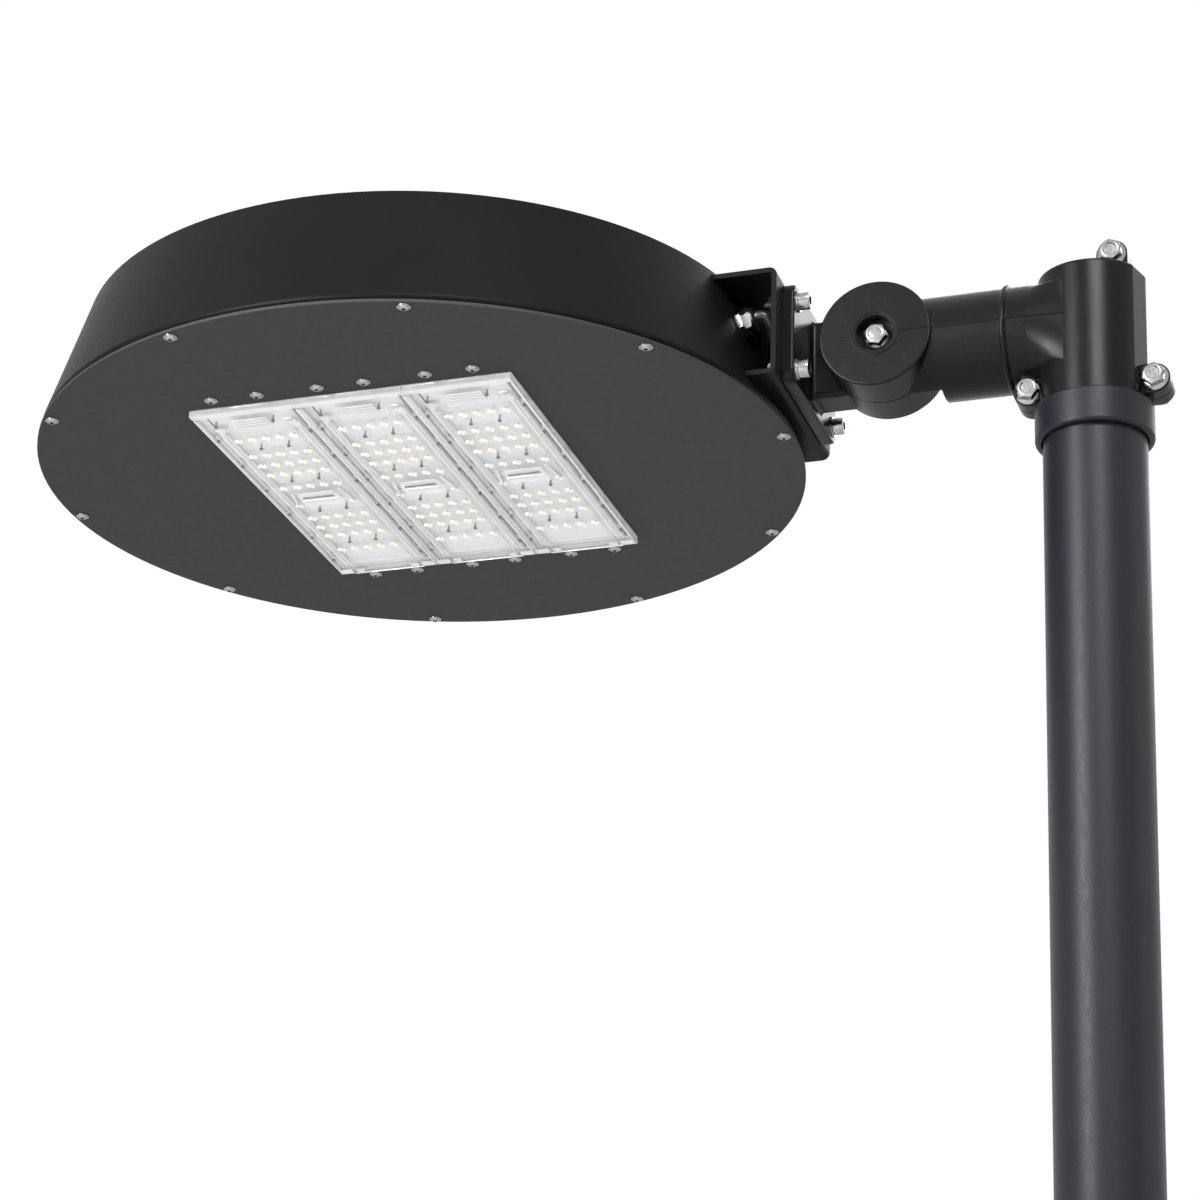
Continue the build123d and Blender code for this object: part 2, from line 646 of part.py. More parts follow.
with BuildPart() as flange_nuts:
    with BuildSketch(Plane.YZ.offset(web_in - WASHER_T)):
        with Locations((0, arm_z)):
            with GridLocations(2 * CAP_SCREW_Y, 2 * CAP_SCREW_Z, 2, 2):
                RegularPolygon(HEX_NUT_AF / 2, 6, major_radius=False)
                Circle(CAP_SCREW_D / 2 + PIVOT_CLEAR, mode=Mode.SUBTRACT)
    extrude(amount=-HEX_NUT_H)
write(flange_nuts, "flange_nuts")

# Where the gland stands on the drum's side, square to the tapered wall
gland_r = drum_radius(GLAND_RISE)
gland_turn = math.asin(GLAND_Y / gland_r)
taper = math.atan((DRUM_R - DRUM_TOP_R) / DRUM_HEIGHT)
gland_normal = Vector(
    math.cos(gland_turn) * math.cos(taper), math.sin(gland_turn) * math.cos(taper), math.sin(taper)
)
gland_base = Vector(-REACH + gland_r * math.cos(gland_turn), GLAND_Y, shell_z + GLAND_RISE)
gland = Plane(origin=gland_base, z_dir=gland_normal)

# Drum: a spun shell with a stiff rim, closed on top, with studs for the gear tray inside
wall_run = DRUM_T / math.cos(taper)
gear_z = drum_top_z - DRUM_T
with BuildPart() as drum_shell:
    with BuildSketch(Plane(origin=(-REACH, 0, shell_z), x_dir=(1, 0, 0), z_dir=(0, -1, 0))):
        with BuildLine():
            Polyline(
                (0, DRUM_HEIGHT),
                (DRUM_TOP_R, DRUM_HEIGHT),
                (DRUM_R, 0),
                (DRUM_R - RIM_WIDTH, 0),
                (DRUM_R - RIM_WIDTH, RIM_T),
                (drum_radius(RIM_T) - wall_run, RIM_T),
                (drum_radius(DRUM_HEIGHT - DRUM_T) - wall_run, DRUM_HEIGHT - DRUM_T),
                (0, DRUM_HEIGHT - DRUM_T),
                close=True,
            )
        make_face()
        fillet(vertices().group_by(Axis.Z)[-1].sort_by(Axis.X)[-1], radius=DRUM_SHOULDER)
    revolve(axis=Axis((-REACH, 0, 0), (0, 0, 1)))
    with BuildSketch(Plane.XY.offset(gear_z)):
        with Locations((-REACH + TRAY_X, 0)):
            with GridLocations(2 * STUD_X, 2 * STUD_Y, 2, 2):
                Circle(STUD_D / 2)
    extrude(amount=-TRAY_T - TRAY_NUT_H - STUD_TAIL)
    with BuildSketch(Plane.XY.offset(shell_z)):
        with Locations((-REACH, 0)):
            with PolarLocations(COVER_SCREW_R, COVER_SCREWS):
                Circle(M4 / 2 + THREAD_CLEAR / 2)
    extrude(amount=RIM_T, mode=Mode.SUBTRACT)
    with BuildSketch(gland):
        Circle(GLAND_THREAD_D / 2 + THREAD_CLEAR)
    extrude(amount=-3 * DRUM_T, both=True, mode=Mode.SUBTRACT)
write(drum_shell, "drum_shell")

# Rim gasket, cover plate with the module window, and its ten screws
with BuildPart() as cover_gasket:
    with BuildSketch(Plane.XY.offset(plate_z + PLATE_T)):
        with Locations((-REACH, 0)):
            Circle(DRUM_R - GASKET_T)
            Circle(DRUM_R - GASKET_T - GASKET_WIDTH, mode=Mode.SUBTRACT)
            with PolarLocations(COVER_SCREW_R, COVER_SCREWS):
                Circle(M4 / 2 + THREAD_CLEAR, mode=Mode.SUBTRACT)
    extrude(amount=GASKET_T)
write(cover_gasket, "cover_gasket")

module_pitch = MODULE_WIDTH + MODULE_GAP
block_width = MODULES * module_pitch - MODULE_GAP
with BuildPart() as cover_plate:
    with BuildSketch(Plane.XY.offset(plate_z)):
        with Locations((-REACH, 0)):
            Circle(DRUM_R)
            Rectangle(
                block_width + 2 * WINDOW_CLEAR, MODULE_LENGTH + 2 * WINDOW_CLEAR, mode=Mode.SUBTRACT
            )
            with PolarLocations(COVER_SCREW_R, COVER_SCREWS):
                Circle(M4 / 2 + THREAD_CLEAR, mode=Mode.SUBTRACT)
            with GridLocations(module_pitch, 2 * MODULE_SCREW_Y, MODULES, 2):
                with GridLocations(2 * MODULE_SCREW_X, 0, 2, 1):
                    Circle(M4 / 2 + THREAD_CLEAR, mode=Mode.SUBTRACT)
    extrude(amount=PLATE_T)
write(cover_plate, "cover_plate")

with BuildPart() as cover_screws:
    for step in range(COVER_SCREWS):
        turn = 2 * math.pi * step / COVER_SCREWS
        spot = (-REACH + COVER_SCREW_R * math.cos(turn), COVER_SCREW_R * math.sin(turn), plate_z)
        seat = Plane(origin=spot, z_dir=(0, 0, -1))
        headed_screw(seat, M4_HEAD_D, M4_HEAD_H, M4, PLATE_T + GASKET_T + RIM_T)
write(cover_screws, "cover_screws")

# LED modules: finned heat sink, circuit board with its chips, seal and clear optic cover
module_xs = [-REACH + (n - (MODULES - 1) / 2) * module_pitch for n in range(MODULES)]
sink_z = plate_z + PLATE_T
cavity_w = MODULE_WIDTH - 2 * LENS_SKIRT
cavity_l = MODULE_LENGTH - 2 * LENS_SKIRT
side_screw_ys = [
    (n - (SIDE_SCREWS - 1) / 2) * SIDE_SCREW_PITCH + SIDE_SCREW_SHIFT for n in range(SIDE_SCREWS)
]
side_screw_spots = [(side * SIDE_SCREW_X, y) for side in (-1, 1) for y in side_screw_ys]
led_spots = [((n - (COLUMNS - 1) / 2) * COLUMN_PITCH, y) for y in ROWS for n in range(COLUMNS)]

for number, module_x in enumerate(module_xs, 1):
    with BuildPart() as module_heatsink:
        with BuildSketch(Plane.XY.offset(sink_z)):
            with Locations((module_x, 0)):
                Rectangle(MODULE_WIDTH, SINK_LENGTH)
                with GridLocations(2 * MODULE_SCREW_X, 2 * MODULE_SCREW_Y, 2, 2):
                    Circle(M4 / 2 + THREAD_CLEAR / 2, mode=Mode.SUBTRACT)
                with Locations(*side_screw_spots):
                    Circle(M3 / 2 + THREAD_CLEAR / 2, mode=Mode.SUBTRACT)
        extrude(amount=SINK_BASE)
        with BuildSketch(Plane.XY.offset(sink_z + SINK_BASE)):
            with Locations((module_x, 0)):
                with GridLocations(FIN_PITCH, 0, FINS, 1):
                    Rectangle(FIN_T, FIN_LENGTH)
        extrude(amount=FIN_HEIGHT)
    write(module_heatsink, f"module_heatsink_{number}")

    with BuildPart() as led_board:
        with BuildSketch(Plane.XY.offset(sink_z)):
            with Locations((module_x, 0)):
                Rectangle(BOARD_WIDTH, BOARD_LENGTH)
        extrude(amount=-BOARD_T)
    write(led_board, f"led_board_{number}")

    with BuildPart() as led_chips:
        with BuildSketch(Plane.XY.offset(sink_z - BOARD_T)):
            with Locations((module_x, 0)):
                with Locations(*led_spots):
                    Rectangle(CHIP, CHIP)
        extrude(amount=-CHIP_T)
    write(led_chips, f"led_chips_{number}")

    with BuildPart() as lens_cover:
        with BuildSketch(Plane.XY.offset(plate_z + LENS_TOP)):
            with Locations((module_x, 0)):
                Rectangle(MODULE_WIDTH, MODULE_LENGTH)
        extrude(amount=-LENS_TOP - LENS_PROUD)
        with BuildSketch(Plane.XY.offset(plate_z + LENS_TOP)):
            with Locations((module_x, 0)):
                Rectangle(cavity_w, cavity_l)
        extrude(amount=LENS_FACE - LENS_TOP - LENS_PROUD, mode=Mode.SUBTRACT)
        with BuildSketch(Plane.XY.offset(plate_z - LENS_PROUD)):
            with Locations((module_x, SIDE_SCREW_SHIFT)):
                with GridLocations(2 * RAIL_X, 0, 2, 1):
                    Rectangle(RAIL_WIDTH, RAIL_LENGTH)
        extrude(amount=-RAIL_RISE)
        with BuildSketch(Plane.XY.offset(plate_z - LENS_PROUD)):
            with Locations((module_x, 0)):
                with Locations(*led_spots):
                    RegularPolygon(OPTIC_D / 2, 8)
        extrude(amount=-OPTIC_RISE, taper=OPTIC_TAPER)
        with BuildSketch(Plane.XY.offset(plate_z - LENS_PROUD)):
            with Locations((module_x, BRIDGE_Y)):
                Rectangle(BRIDGE_WIDTH, BRIDGE_LENGTH)
        extrude(amount=-BRIDGE_RISE, taper=OPTIC_TAPER)
        with BuildSketch(Plane.XY.offset(plate_z + LENS_TOP)):
            with Locations((module_x, 0)):
                with Locations(*side_screw_spots):
                    Circle(M3 / 2 + THREAD_CLEAR / 2)
        extrude(amount=-LENS_TOP - LENS_PROUD - RAIL_RISE, mode=Mode.SUBTRACT)
    write(lens_cover, f"lens_cover_{number}")

with BuildPart() as lens_seals:
    for module_x in module_xs:
        with BuildSketch(Plane.XY.offset(plate_z + LENS_TOP)):
            with Locations((module_x, 0)):
                Rectangle(cavity_w + 2 * SEAL_WIDTH, cavity_l + 2 * SEAL_WIDTH)
                Rectangle(cavity_w, cavity_l, mode=Mode.SUBTRACT)
        extrude(amount=PLATE_T - LENS_TOP)
write(lens_seals, "lens_seals")

with BuildPart() as lens_screws:
    for module_x in module_xs:
        for x, y in side_screw_spots:
            seat = Plane(origin=(module_x + x, y, plate_z - LENS_PROUD), z_dir=(0, 0, -1))
            headed_screw(seat, M3_HEAD_D, M3_HEAD_H, M3, LENS_PROUD + PLATE_T + SINK_BASE)
write(lens_screws, "lens_screws")

with BuildPart() as module_screws:
    for module_x in module_xs:
        for x in (-MODULE_SCREW_X, MODULE_SCREW_X):
            for y in (-MODULE_SCREW_Y, MODULE_SCREW_Y):
                seat = Plane(origin=(module_x + x, y, plate_z), z_dir=(0, 0, -1))
                headed_screw(seat, M4_HEAD_D, M4_HEAD_H, M4, PLATE_T + SINK_BASE + MODULE_SCREW_TAIL)
write(module_screws, "module_screws")

# Gear tray against the drum's top, on four welded studs, with the driver hung under it
tray_z = gear_z - TRAY_T
tray_mid = -REACH + TRAY_X
with BuildPart() as gear_tray:
    with BuildSketch(Plane.XY.offset(gear_z)):
        with Locations((tray_mid, 0)):
            Rectangle(TRAY_LENGTH, TRAY_WIDTH)
            with GridLocations(2 * STUD_X, 2 * STUD_Y, 2, 2):
                Circle(STUD_D / 2 + THREAD_CLEAR, mode=Mode.SUBTRACT)
    extrude(amount=-TRAY_T)
    with BuildSketch(Plane.XY.offset(gear_z)):
        with Locations((tray_mid, 0)):
            with GridLocations(0, TRAY_WIDTH - TRAY_T, 1, 2):
                Rectangle(TRAY_LENGTH, TRAY_T)
    extrude(amount=-TRAY_LIP)
write(gear_tray, "gear_tray")

with BuildPart() as tray_nuts:
    with BuildSketch(Plane.XY.offset(tray_z)):
        with Locations((tray_mid, 0)):
            with GridLocations(2 * STUD_X, 2 * STUD_Y, 2, 2):
                RegularPolygon(TRAY_NUT_AF / 2, 6, major_radius=False)
                Circle(STUD_D / 2 + PIVOT_CLEAR, mode=Mode.SUBTRACT)
    extrude(amount=-TRAY_NUT_H)
write(tray_nuts, "tray_nuts")

with BuildPart() as led_driver:
    with BuildSketch(Plane.XY.offset(tray_z)):
        with Locations((-REACH + DRIVER_X, 0)):
            Rectangle(DRIVER_LENGTH, DRIVER_WIDTH)
    extrude(amount=-DRIVER_HEIGHT)
    fillet(edges().filter_by(Axis.X), radius=DRIVER_EAR_T)
    with BuildSketch(Plane.XY.offset(tray_z)):
        with Locations((-REACH + DRIVER_X, 0)):
            Rectangle(DRIVER_LENGTH + 2 * DRIVER_EAR, DRIVER_WIDTH - 4 * DRIVER_EAR_T)
    extrude(amount=-DRIVER_EAR_T)
write(led_driver, "led_driver")

with BuildPart() as surge_protector:
    with BuildSketch(Plane.XY.offset(tray_z)):
        with Locations((-REACH + SURGE_X, 0)):
            Rectangle(SURGE_SIZE[0], SURGE_SIZE[1])
    extrude(amount=-SURGE_SIZE[2])
    fillet(edges().filter_by(Axis.Z), radius=DRIVER_EAR_T)
write(surge_protector, "surge_protector")

with BuildPart() as terminal_block:
    with BuildSketch(Plane.XY.offset(tray_z)):
        with Locations((-REACH + TERMINAL_X, 0)):
            Rectangle(TERMINAL_SIZE[0], TERMINAL_SIZE[1])
    extrude(amount=-TERMINAL_SIZE[2])
write(terminal_block, "terminal_block")

# Cable gland through the drum's wall: sealing washer, body, domed cap nut and inner lock nut
with BuildPart() as gland_washer:
    with BuildSketch(gland):
        Circle(GLAND_AF / 2 + GLAND_WASHER_T)
        Circle(GLAND_THREAD_D / 2 + THREAD_CLEAR, mode=Mode.SUBTRACT)
    extrude(amount=GLAND_WASHER_T)
write(gland_washer, "gland_washer")

with BuildPart() as gland_body:
    with BuildSketch(gland.offset(GLAND_WASHER_T)):
        RegularPolygon(GLAND_AF / 2, 6, major_radius=False)
    extrude(amount=GLAND_BODY_H)
    with BuildSketch(gland.offset(GLAND_WASHER_T)):
        Circle(GLAND_THREAD_D / 2)
    extrude(amount=-GLAND_WASHER_T - DRUM_T - GLAND_NUT_H - GLAND_TAIL)
    with BuildSketch(gland.offset(GLAND_WASHER_T + GLAND_BODY_H)):
        Circle(CABLE_D / 2 + CABLE_CLEAR)
    extrude(
        amount=-GLAND_WASHER_T - GLAND_BODY_H - DRUM_T - GLAND_NUT_H - GLAND_TAIL, mode=Mode.SUBTRACT
    )
write(gland_body, "gland_body")

with BuildPart() as gland_cap:
    with BuildSketch(gland.offset(GLAND_WASHER_T + GLAND_BODY_H)):
        RegularPolygon(GLAND_AF / 2 - THREAD_CLEAR, 6, major_radius=False)
    extrude(amount=GLAND_CAP_H)
    fillet(faces().sort_by(Axis(gland.origin, gland.z_dir))[-1].edges(), radius=GLAND_WASHER_T)
    with BuildSketch(gland.offset(GLAND_WASHER_T + GLAND_BODY_H)):
        Circle(CABLE_D / 2 + CABLE_CLEAR)
    extrude(amount=GLAND_CAP_H, mode=Mode.SUBTRACT)
write(gland_cap, "gland_cap")

with BuildPart() as gland_lock_nut:
    with BuildSketch(gland.offset(-DRUM_T - LOCK_NUT_GAP)):
        RegularPolygon(GLAND_AF / 2, 6, major_radius=False)
        Circle(GLAND_THREAD_D / 2 + PIVOT_CLEAR, mode=Mode.SUBTRACT)
    extrude(amount=-GLAND_NUT_H)
write(gland_lock_nut, "gland_lock_nut")

# Supply cable: from the terminal block, out through the gland, round under the nuts and into
# the flange's wire way. These are the corners of its run, each rounded off below.
lead_z = tray_z - TERMINAL_SIZE[2] / 2
cable_points = [
    Vector(-REACH + TERMINAL_X + TERMINAL_SIZE[0] / 2, -CABLE_LANE, lead_z),
    Vector(-REACH + TERMINAL_X + TERMINAL_SIZE[0] / 2 + CABLE_LEAD, -CABLE_LANE, lead_z),
    gland_base - gland_normal * CABLE_INNER_RUN,
    gland_base + gland_normal * CABLE_OUTER_RUN,
    Vector(-229.0, -54.4, arm_z + 6.9),
    Vector(-238.4, -21.5, arm_z - 4.5),
    Vector(-238.0, -neck_y, arm_z),
    Vector(flange_out, -neck_y, arm_z),
]
cable_radii = []
for before, corner, after in zip(cable_points, cable_points[1:], cable_points[2:]):
    turn = (corner - before).get_angle(after - corner)
    shorter = min((corner - before).length, (after - corner).length)
    cable_radii.append(0.45 * shorter / math.tan(math.radians(turn / 2)))
    print("supply cable turn", round(turn, 1), "radius", round(cable_radii[-1], 1))

with BuildPart() as supply_cable:
    with BuildLine() as route:
        FilletPolyline(*cable_points, radius=cable_radii)
    with BuildSketch(Plane(origin=cable_points[0], z_dir=cable_points[1] - cable_points[0])):
        Circle(CABLE_D / 2)
    sweep()
print("supply cable length", round(sum(edge.length for edge in route.edges()), 1))
write(supply_cable, "supply_cable")

# Rubber grommet that lines the hole through the bracket's web and the flange
with BuildPart() as wire_grommet:
    with BuildSketch(Plane.YZ.offset(web_in - GROMMET_LIP_T)):
        with Locations((-neck_y, arm_z)):
            Circle(WIRE_WAY / 2 + GROMMET_LIP)
    extrude(amount=GROMMET_LIP_T)
    with BuildSketch(Plane.YZ.offset(web_in)):
        with Locations((-neck_y, arm_z)):
            Circle(WIRE_WAY / 2)
    extrude(amount=BRACKET_T + FLANGE_T_PLATE)
    with BuildSketch(Plane.YZ.offset(web_in - GROMMET_LIP_T)):
        with Locations((-neck_y, arm_z)):
            Circle(CABLE_D / 2 + CABLE_CLEAR)
    extrude(amount=GROMMET_LIP_T + BRACKET_T + FLANGE_T_PLATE, mode=Mode.SUBTRACT)
write(wire_grommet, "wire_grommet")
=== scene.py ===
import json
from math import atan2, cos, pi, radians, sin, sqrt

import bmesh
import bpy
from mathutils import Matrix, Quaternion, Vector

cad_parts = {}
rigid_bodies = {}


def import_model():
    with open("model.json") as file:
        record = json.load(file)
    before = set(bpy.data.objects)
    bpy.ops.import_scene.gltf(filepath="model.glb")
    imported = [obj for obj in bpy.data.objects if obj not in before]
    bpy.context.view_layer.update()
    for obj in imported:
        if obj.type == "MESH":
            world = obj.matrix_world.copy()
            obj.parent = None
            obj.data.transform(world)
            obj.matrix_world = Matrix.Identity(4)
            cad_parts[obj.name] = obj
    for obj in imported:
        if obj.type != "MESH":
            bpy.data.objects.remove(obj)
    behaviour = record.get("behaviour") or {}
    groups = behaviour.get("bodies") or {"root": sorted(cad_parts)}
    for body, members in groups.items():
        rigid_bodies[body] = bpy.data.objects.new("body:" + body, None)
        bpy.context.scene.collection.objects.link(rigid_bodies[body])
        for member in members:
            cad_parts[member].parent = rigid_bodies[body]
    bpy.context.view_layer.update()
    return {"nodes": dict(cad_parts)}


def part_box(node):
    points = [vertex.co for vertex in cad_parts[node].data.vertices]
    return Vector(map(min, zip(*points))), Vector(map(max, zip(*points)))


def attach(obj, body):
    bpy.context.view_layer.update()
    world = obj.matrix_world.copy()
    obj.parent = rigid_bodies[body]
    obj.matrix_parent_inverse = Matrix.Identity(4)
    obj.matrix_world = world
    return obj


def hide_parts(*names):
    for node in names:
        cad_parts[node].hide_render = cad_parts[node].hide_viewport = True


for leftover in list(bpy.data.objects):
    bpy.data.objects.remove(leftover)
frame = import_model()
nodes = frame["nodes"]


# Pole tube, the spigot inside its top and the trim collar round it. Steel tube with a blue black
# powder coat that has a fine orange peel and, faintly, the long streaks of the drawn tube.
class Signal:
    """One output socket of a finish; arithmetic on it adds the Math nodes."""

    def __init__(self, finish, socket):
        self.finish = finish
        self.socket = socket

    def combine(self, operation, first, second):
        return self.finish.node("ShaderNodeMath", {"operation": operation}, {0: first, 1: second})

    def __add__(self, other):
        return self.combine("ADD", self, other)

    def __mul__(self, other):
        return self.combine("MULTIPLY", self, other)

    def __sub__(self, other):
        return self.combine("SUBTRACT", self, other)

    def __rsub__(self, other):
        return self.combine("SUBTRACT", other, self)

    __radd__ = __add__
    __rmul__ = __mul__


class Finish:
    """A procedural material round one Principled shader, and the nodes that vary it."""

    def __init__(self, name, **settings):
        self.material = bpy.data.materials.new(name)
        self.material.use_nodes = True
        self.tree = self.material.node_tree
        self.shader = self.tree.nodes["Principled BSDF"]
        for words, value in settings.items():
            socket = words.replace("_", " ").title().replace("Ior", "IOR")
            self.shader.inputs[socket].default_value = value
        self.place = self.node("ShaderNodeTexCoord", {}, {}, "Object")

    def node(self, kind, settings, inputs, output=0):
        made = self.tree.nodes.new(kind)
        for words, value in settings.items():
            setattr(made, words, value)
        for name, value in inputs.items():
            if isinstance(value, Signal):
                self.tree.links.new(value.socket, made.inputs[name])
            else:
                made.inputs[name].default_value = value
        return Signal(self, made.outputs[output])

    def feed(self, name, signal):
        self.tree.links.new(signal.socket, self.shader.inputs[name])

    def noise(self, scale, detail=3.0, stretch=(1, 1, 1)):
        """Noise on the piece's own place, in cells a metre, from about 0.2 to 0.8."""
        spot = self.node("ShaderNodeMapping", {}, {"Vector": self.place, "Scale": stretch})
        return self.node("ShaderNodeTexNoise", {}, {"Vector": spot, "Scale": scale, "Detail": detail})

    def blend(self, factor, low, high):
        """A colour between two, by a signal."""
        return self.node(
            "ShaderNodeMix", {"data_type": "RGBA"}, {"Factor": factor, 6: (*low, 1), 7: (*high, 1)}, 2
        )

    def mottle(self, scale, dark, light):
        """A base colour that wanders between two."""
        self.feed("Base Color", self.blend(self.noise(scale), dark, light))

    def relief(self, height, depth, round_edges=0.0):
        """Grain of a given depth, and edges that look rounded off by a radius."""
        sockets = {"Height": height, "Distance": depth, "Strength": 1.0}
        if round_edges:
            sockets["Normal"] = self.node("ShaderNodeBevel", {"samples": 4}, {"Radius": round_edges})
        self.feed("Normal", self.node("ShaderNodeBump", {}, sockets))


def coat(name, dark, light, roughness, peel, round_edges, streaks=(1, 1, 1), **settings):
    """Powder coat: two near blacks in soft clouds, faint rubbed streaks and an orange peel."""
    finish = Finish(name, **settings)
    clouds = finish.noise(9.0, 4.0, streaks)
    rubs = finish.noise(330.0, 4.0, (1, 1, 0.35))
    grain = finish.noise(1500.0, 2.0)
    finish.feed("Base Color", finish.blend(clouds, dark, light))
    gloss = (clouds - 0.5) * 0.12 + (rubs - 0.5) * 0.18 + (grain - 0.5) * 0.10
    finish.feed("Roughness", gloss + roughness)
    finish.relief(grain, peel, round_edges)
    return finish.material


def dress(material, *names):
    """Gives CAD nodes their finish."""
    for name in names:
        mesh = nodes[name].data
        mesh.materials.clear()
        mesh.materials.append(material)


pole_coat = coat(
    "pole_coat", (0.006, 0.007, 0.010), (0.009, 0.010, 0.014), 0.40, 0.00010, 0.0006, (1, 1, 0.12),
    specular_ior_level=0.20,
)
dress(pole_coat, "pole_tube", "pole_tenon", "pole_collar")

# Slip fitter, its rear clamp half and the knuckle's rear disc with its flange. Die castings under
# a satin black powder coat, with the soft edges that the coat leaves on a casting.
cast_coat = coat(
    "cast_coat", (0.004, 0.004, 0.004), (0.006, 0.006, 0.006), 0.22, 0.00013, 0.0010,
    specular_ior_level=0.12,
)
dress(cast_coat, "slipfitter_arm", "clamp_cap", "knuckle_flange")

# Clamp bolts and the pivot bolt with their nuts. Stainless steel, cold headed, with a washer face
# under a chamfered hexagon and a shallow dish in its top. Sizes are in millimetres.
MM = 0.001
BOLT_STEPS = 48


def turned(profile, steps=BOLT_STEPS):
    """A turned solid about Z from (radius, height) points in millimetres; one that ends where it
    starts is a ring."""
    shape = bmesh.new()
    points = [shape.verts.new((radius, 0, height)) for radius, height in profile]
    lines = [shape.edges.new(pair) for pair in zip(points, points[1:])]
    bmesh.ops.spin(
        shape, geom=points + lines, axis=(0, 0, 1), cent=(0, 0, 0), steps=steps, angle=2 * pi,
        use_merge=True,
    )
    bmesh.ops.remove_doubles(shape, verts=shape.verts[:], dist=0.001)
    bmesh.ops.recalc_face_normals(shape, faces=shape.faces[:])
    return shape


def cut_flats(shape, across, sides=6):
    """Mills flats round a turned head, and closes each cut."""
    for side in range(sides):
        angle = 2 * pi * side / sides
        out = Vector((cos(angle), sin(angle), 0))
        cut = bmesh.ops.bisect_plane(
            shape, geom=shape.verts[:] + shape.edges[:] + shape.faces[:], dist=0.0001,
            plane_co=out * across / 2, plane_no=out, clear_outer=True,
        )
        rim = [part for part in cut["geom_cut"] if isinstance(part, bmesh.types.BMEdge)]
        bmesh.ops.contextual_create(shape, geom=rim)
    bmesh.ops.recalc_face_normals(shape, faces=shape.faces[:])
    return shape


def thread(radius, low, high, pitch):
    """Root and crest of each turn of a thread, as rings."""
    points = []
    for turn in range(round((high - low) / pitch)):
        foot = low + turn * pitch
        points += [(radius - 0.55 * pitch, foot), (radius, foot + pitch / 2)]
    return points


def stand(seat, out, turn=0.0):
    """Where a fastener drawn about Z goes: its seat and the way its head points."""
    turned_to = Vector(out).to_track_quat("Z", "Y").to_matrix().to_4x4()
    return Matrix.Translation(seat) @ turned_to @ Matrix.Rotation(turn, 4, "Z")


def join(into, shape, place=Matrix()):
    """Puts a copy of a shape into another one."""
    copy = bpy.data.meshes.new("copy")
    shape.to_mesh(copy)
    copy.transform(place)
    into.from_mesh(copy)
    bpy.data.meshes.remove(copy)


def add(into, shape, place):
    """Puts a copy of a millimetre shape into a piece's mesh, which is in metres."""
    join(into, shape, Matrix.Scale(MM, 4) @ place)


def islands(name):
    """The lowest and highest corner of each separate solid of a node, in millimetres."""
    shape = bmesh.new()
    shape.from_mesh(nodes[name].data)
    bmesh.ops.remove_doubles(shape, verts=shape.verts[:], dist=1e-6)
    left = set(shape.verts)
    boxes = []
    while left:
        reach = [left.pop()]
        solid = []
        while reach:
            vert = reach.pop()
            solid.append(vert.co / MM)
            near = {edge.other_vert(vert) for edge in vert.link_edges} & left
            left -= near
            reach += near
        low = Vector([min(point[axis] for point in solid) for axis in range(3)])
        high = Vector([max(point[axis] for point in solid) for axis in range(3)])
        boxes.append((low, high))
    shape.free()
    return sorted(boxes, key=lambda box: tuple(box[0]))


def finished(name, shape, body, replaced, *materials, sharp=32):
    """Makes a piece of a mesh that is in place, smooth but for its sharp edges."""
    mesh = bpy.data.meshes.new(name)
    shape.to_mesh(mesh)
    shape.free()
    mesh.shade_smooth()
    mesh.set_sharp_from_angle(angle=radians(sharp))
    for material in materials:
        mesh.materials.append(material)
    piece = bpy.data.objects.new(name, mesh)
    bpy.context.scene.collection.objects.link(piece)
    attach(piece, body)
    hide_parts(replaced)


bright_steel = Finish("bright_steel", metallic=1.0)
turning = bright_steel.noise(700.0, 3.0)
bright_steel.feed("Base Color", bright_steel.blend(turning, (0.24, 0.237, 0.23), (0.44, 0.435, 0.425)))
bright_steel.feed("Roughness", (turning - 0.5) * 0.22 + 0.24)
bright_steel.relief(turning, 0.00003)

BOLT_R = 5.0
BOLT_PITCH = 1.5
BOLT_THREAD = 24.0
BOLT_AF = 15.0
BOLT_HEAD = 10.0
NUT_HEIGHT = 9.0
HEX_CORNER = BOLT_AF / sqrt(3)
HEX_FOOT = 1.6
CHAMFER = 1.6
TOP_R = 6.5
WASHER_RIM = 0.9
BOLT_WASHER_R = 10.4
NUT_WASHER_R = 10.0


def hex_head(height):
    """The chamfered hexagon over a washer face, with a shallow dish in its top."""
    return cut_flats(turned([
        (0, HEX_FOOT), (HEX_CORNER, HEX_FOOT), (HEX_CORNER, height - CHAMFER), (TOP_R, height - 0.25),
        (TOP_R - 0.7, height), (TOP_R - 1.5, height - 0.1), (TOP_R - 2.1, height - 0.8),
        (0, height - 0.45),
    ]), BOLT_AF)


def washer_face(radius):
    """The outline of a forged washer face, from its seat up to the hexagon's corners."""
    return [
        (radius - 0.3, 0), (radius, 0.3), (radius, WASHER_RIM), (radius - 0.3, WASHER_RIM + 0.4),
    ]


def flange_bolt(length):
    """Shank, thread and washer face of a flange bolt, seated at height 0."""
    low = 1.0 - length
    high = low + BOLT_THREAD
    return turned([
        (0, -length), (BOLT_R - 1.2, -length), *thread(BOLT_R, low, high, BOLT_PITCH),
        (BOLT_R, high), (BOLT_R, 0), *washer_face(BOLT_WASHER_R),
        (HEX_CORNER + 0.2, 2.3), (HEX_CORNER - 0.6, 2.8), (0, 2.8),
    ])


